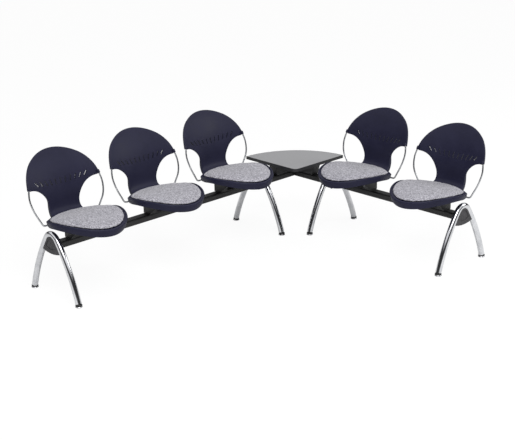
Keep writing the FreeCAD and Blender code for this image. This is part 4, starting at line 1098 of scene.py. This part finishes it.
# %% [markdown]
# The bench stands in a plain studio: a pale floor that keeps a faint shadow, a wide soft lamp above and in
# front, a second one beside it, and a world that is white wherever the camera looks. Chrome shows what is
# round it, so for glossy rays the world is bright overhead and darker low down, which gives tube its dark
# streaks.

# %% Floor
FLOOR_GLOW = 0.86
floor_mesh = bpy.data.meshes.new("floor")
bm = bmesh.new()
bmesh.ops.create_grid(bm, x_segments=1, y_segments=1, size=30.0)
bm.to_mesh(floor_mesh)
bm.free()
floor = bpy.data.objects.new("floor", floor_mesh)
bpy.context.scene.collection.objects.link(floor)
pale = {"Base Color": (0.86, 0.86, 0.86, 1), "Roughness": 0.9}
floor_material, tree, shader = new_material("studio floor", pale)
path = add_node(tree, "ShaderNodeLightPath")
glow = add_node(tree, "ShaderNodeEmission", {"Color": (1, 1, 1, 1), "Strength": 1.06})
share = add_node(tree, "ShaderNodeMath", operation="MULTIPLY")
tree.links.new(path.outputs["Is Camera Ray"], share.inputs[0])
share.inputs[1].default_value = FLOOR_GLOW
mixed = add_node(tree, "ShaderNodeMixShader", {"Fac": share.outputs["Value"]})
tree.links.new(shader.outputs["BSDF"], mixed.inputs[1])
tree.links.new(glow.outputs["Emission"], mixed.inputs[2])
tree.links.new(mixed.outputs["Shader"], tree.nodes["Material Output"].inputs["Surface"])
floor_mesh.materials.append(floor_material)

# %% World
SKY_LEVELS = ((0.1, 0.05), (0.36, 0.03), (0.48, 0.75))
world = bpy.data.worlds.new("studio")
bpy.context.scene.world = world
world.use_nodes = True
tree = world.node_tree
tree.nodes.clear()
path = add_node(tree, "ShaderNodeLightPath")
direction = add_node(tree, "ShaderNodeTexCoord")
split = add_node(tree, "ShaderNodeSeparateXYZ", {"Vector": direction.outputs["Generated"]})
ramp = add_node(tree, "ShaderNodeValToRGB", {"Fac": split.outputs["Z"]})
ramp.color_ramp.elements[0].position = 0.02
ramp.color_ramp.elements[0].color = (0.75, 0.75, 0.76, 1)
ramp.color_ramp.elements[1].position = 0.75
ramp.color_ramp.elements[1].color = (1, 1, 1, 1)
for position, level in SKY_LEVELS:
    ramp.color_ramp.elements.new(position).color = (level, level, level * 1.03, 1)
lighting = add_node(tree, "ShaderNodeBackground", {"Color": (1, 1, 1, 1), "Strength": 0.5})
white = add_node(tree, "ShaderNodeBackground", {"Color": (1, 1, 1, 1), "Strength": 1.0})
mirrored = add_node(tree, "ShaderNodeBackground", {"Color": ramp.outputs["Color"], "Strength": 1.0})
seen = add_node(tree, "ShaderNodeMath", operation="MAXIMUM")
tree.links.new(path.outputs["Is Camera Ray"], seen.inputs[0])
tree.links.new(path.outputs["Is Transmission Ray"], seen.inputs[1])
first = add_node(tree, "ShaderNodeMixShader", {"Fac": path.outputs["Is Glossy Ray"]})
tree.links.new(lighting.outputs[0], first.inputs[1])
tree.links.new(mirrored.outputs[0], first.inputs[2])
second = add_node(tree, "ShaderNodeMixShader", {"Fac": seen.outputs["Value"]})
tree.links.new(first.outputs[0], second.inputs[1])
tree.links.new(white.outputs[0], second.inputs[2])
tree.links.new(second.outputs[0], add_node(tree, "ShaderNodeOutputWorld").inputs["Surface"])


# %% Lamps
def soft_lamp(name, place, target, size, power):
    lamp = bpy.data.lights.new(name, "AREA")
    lamp.size = size
    lamp.energy = power
    holder = bpy.data.objects.new(name, lamp)
    holder.location = place
    holder.rotation_euler = (Vector(target) - Vector(place)).to_track_quat("-Z", "Y").to_euler()
    bpy.context.scene.collection.objects.link(holder)


soft_lamp("key", (-2.2, -2.6, 4.6), (0, 0.1, 0.4), 3.2, 170.0)
soft_lamp("side", (3.6, -2.4, 2.8), (0.2, 0.2, 0.4), 2.0, 45.0)

# %% [markdown]
# The camera stands where the photograph was taken from: in front of the inner corner, a little above the
# backs, looking down about nineteen degrees through a long lens. Its place was fitted to the repeated seats
# and feet.

# %% Camera
CAMERA_FROM_CROSSING = (-5.488, -5.336, 2.6458)
HEADING = (0.69326, 0.72070)
DOWN = 0.33057
ROLL_ANGLE = -0.0188
level = math.sqrt(1 - DOWN ** 2)
ahead = Vector((HEADING[0] * level, HEADING[1] * level, -DOWN)).normalized()
right = ahead.cross(Vector((0, 0, 1))).normalized()
up = right.cross(ahead)
rolled_right = right * math.cos(ROLL_ANGLE) + up * math.sin(ROLL_ANGLE)
rolled_up = up * math.cos(ROLL_ANGLE) - right * math.sin(ROLL_ANGLE)
lens = bpy.data.cameras.new("camera")
lens.lens = 82.56
lens.sensor_width = 36.0
camera = bpy.data.objects.new("camera", lens)
turn = Matrix((rolled_right, rolled_up, -ahead)).transposed().to_4x4()
spot = (CROSS_X + CAMERA_FROM_CROSSING[0], CROSS_Y + CAMERA_FROM_CROSSING[1], CAMERA_FROM_CROSSING[2])
camera.matrix_world = Matrix.Translation(spot) @ turn
bpy.context.scene.collection.objects.link(camera)
bpy.context.scene.camera = camera
bpy.context.scene.view_settings.view_transform = "Standard"
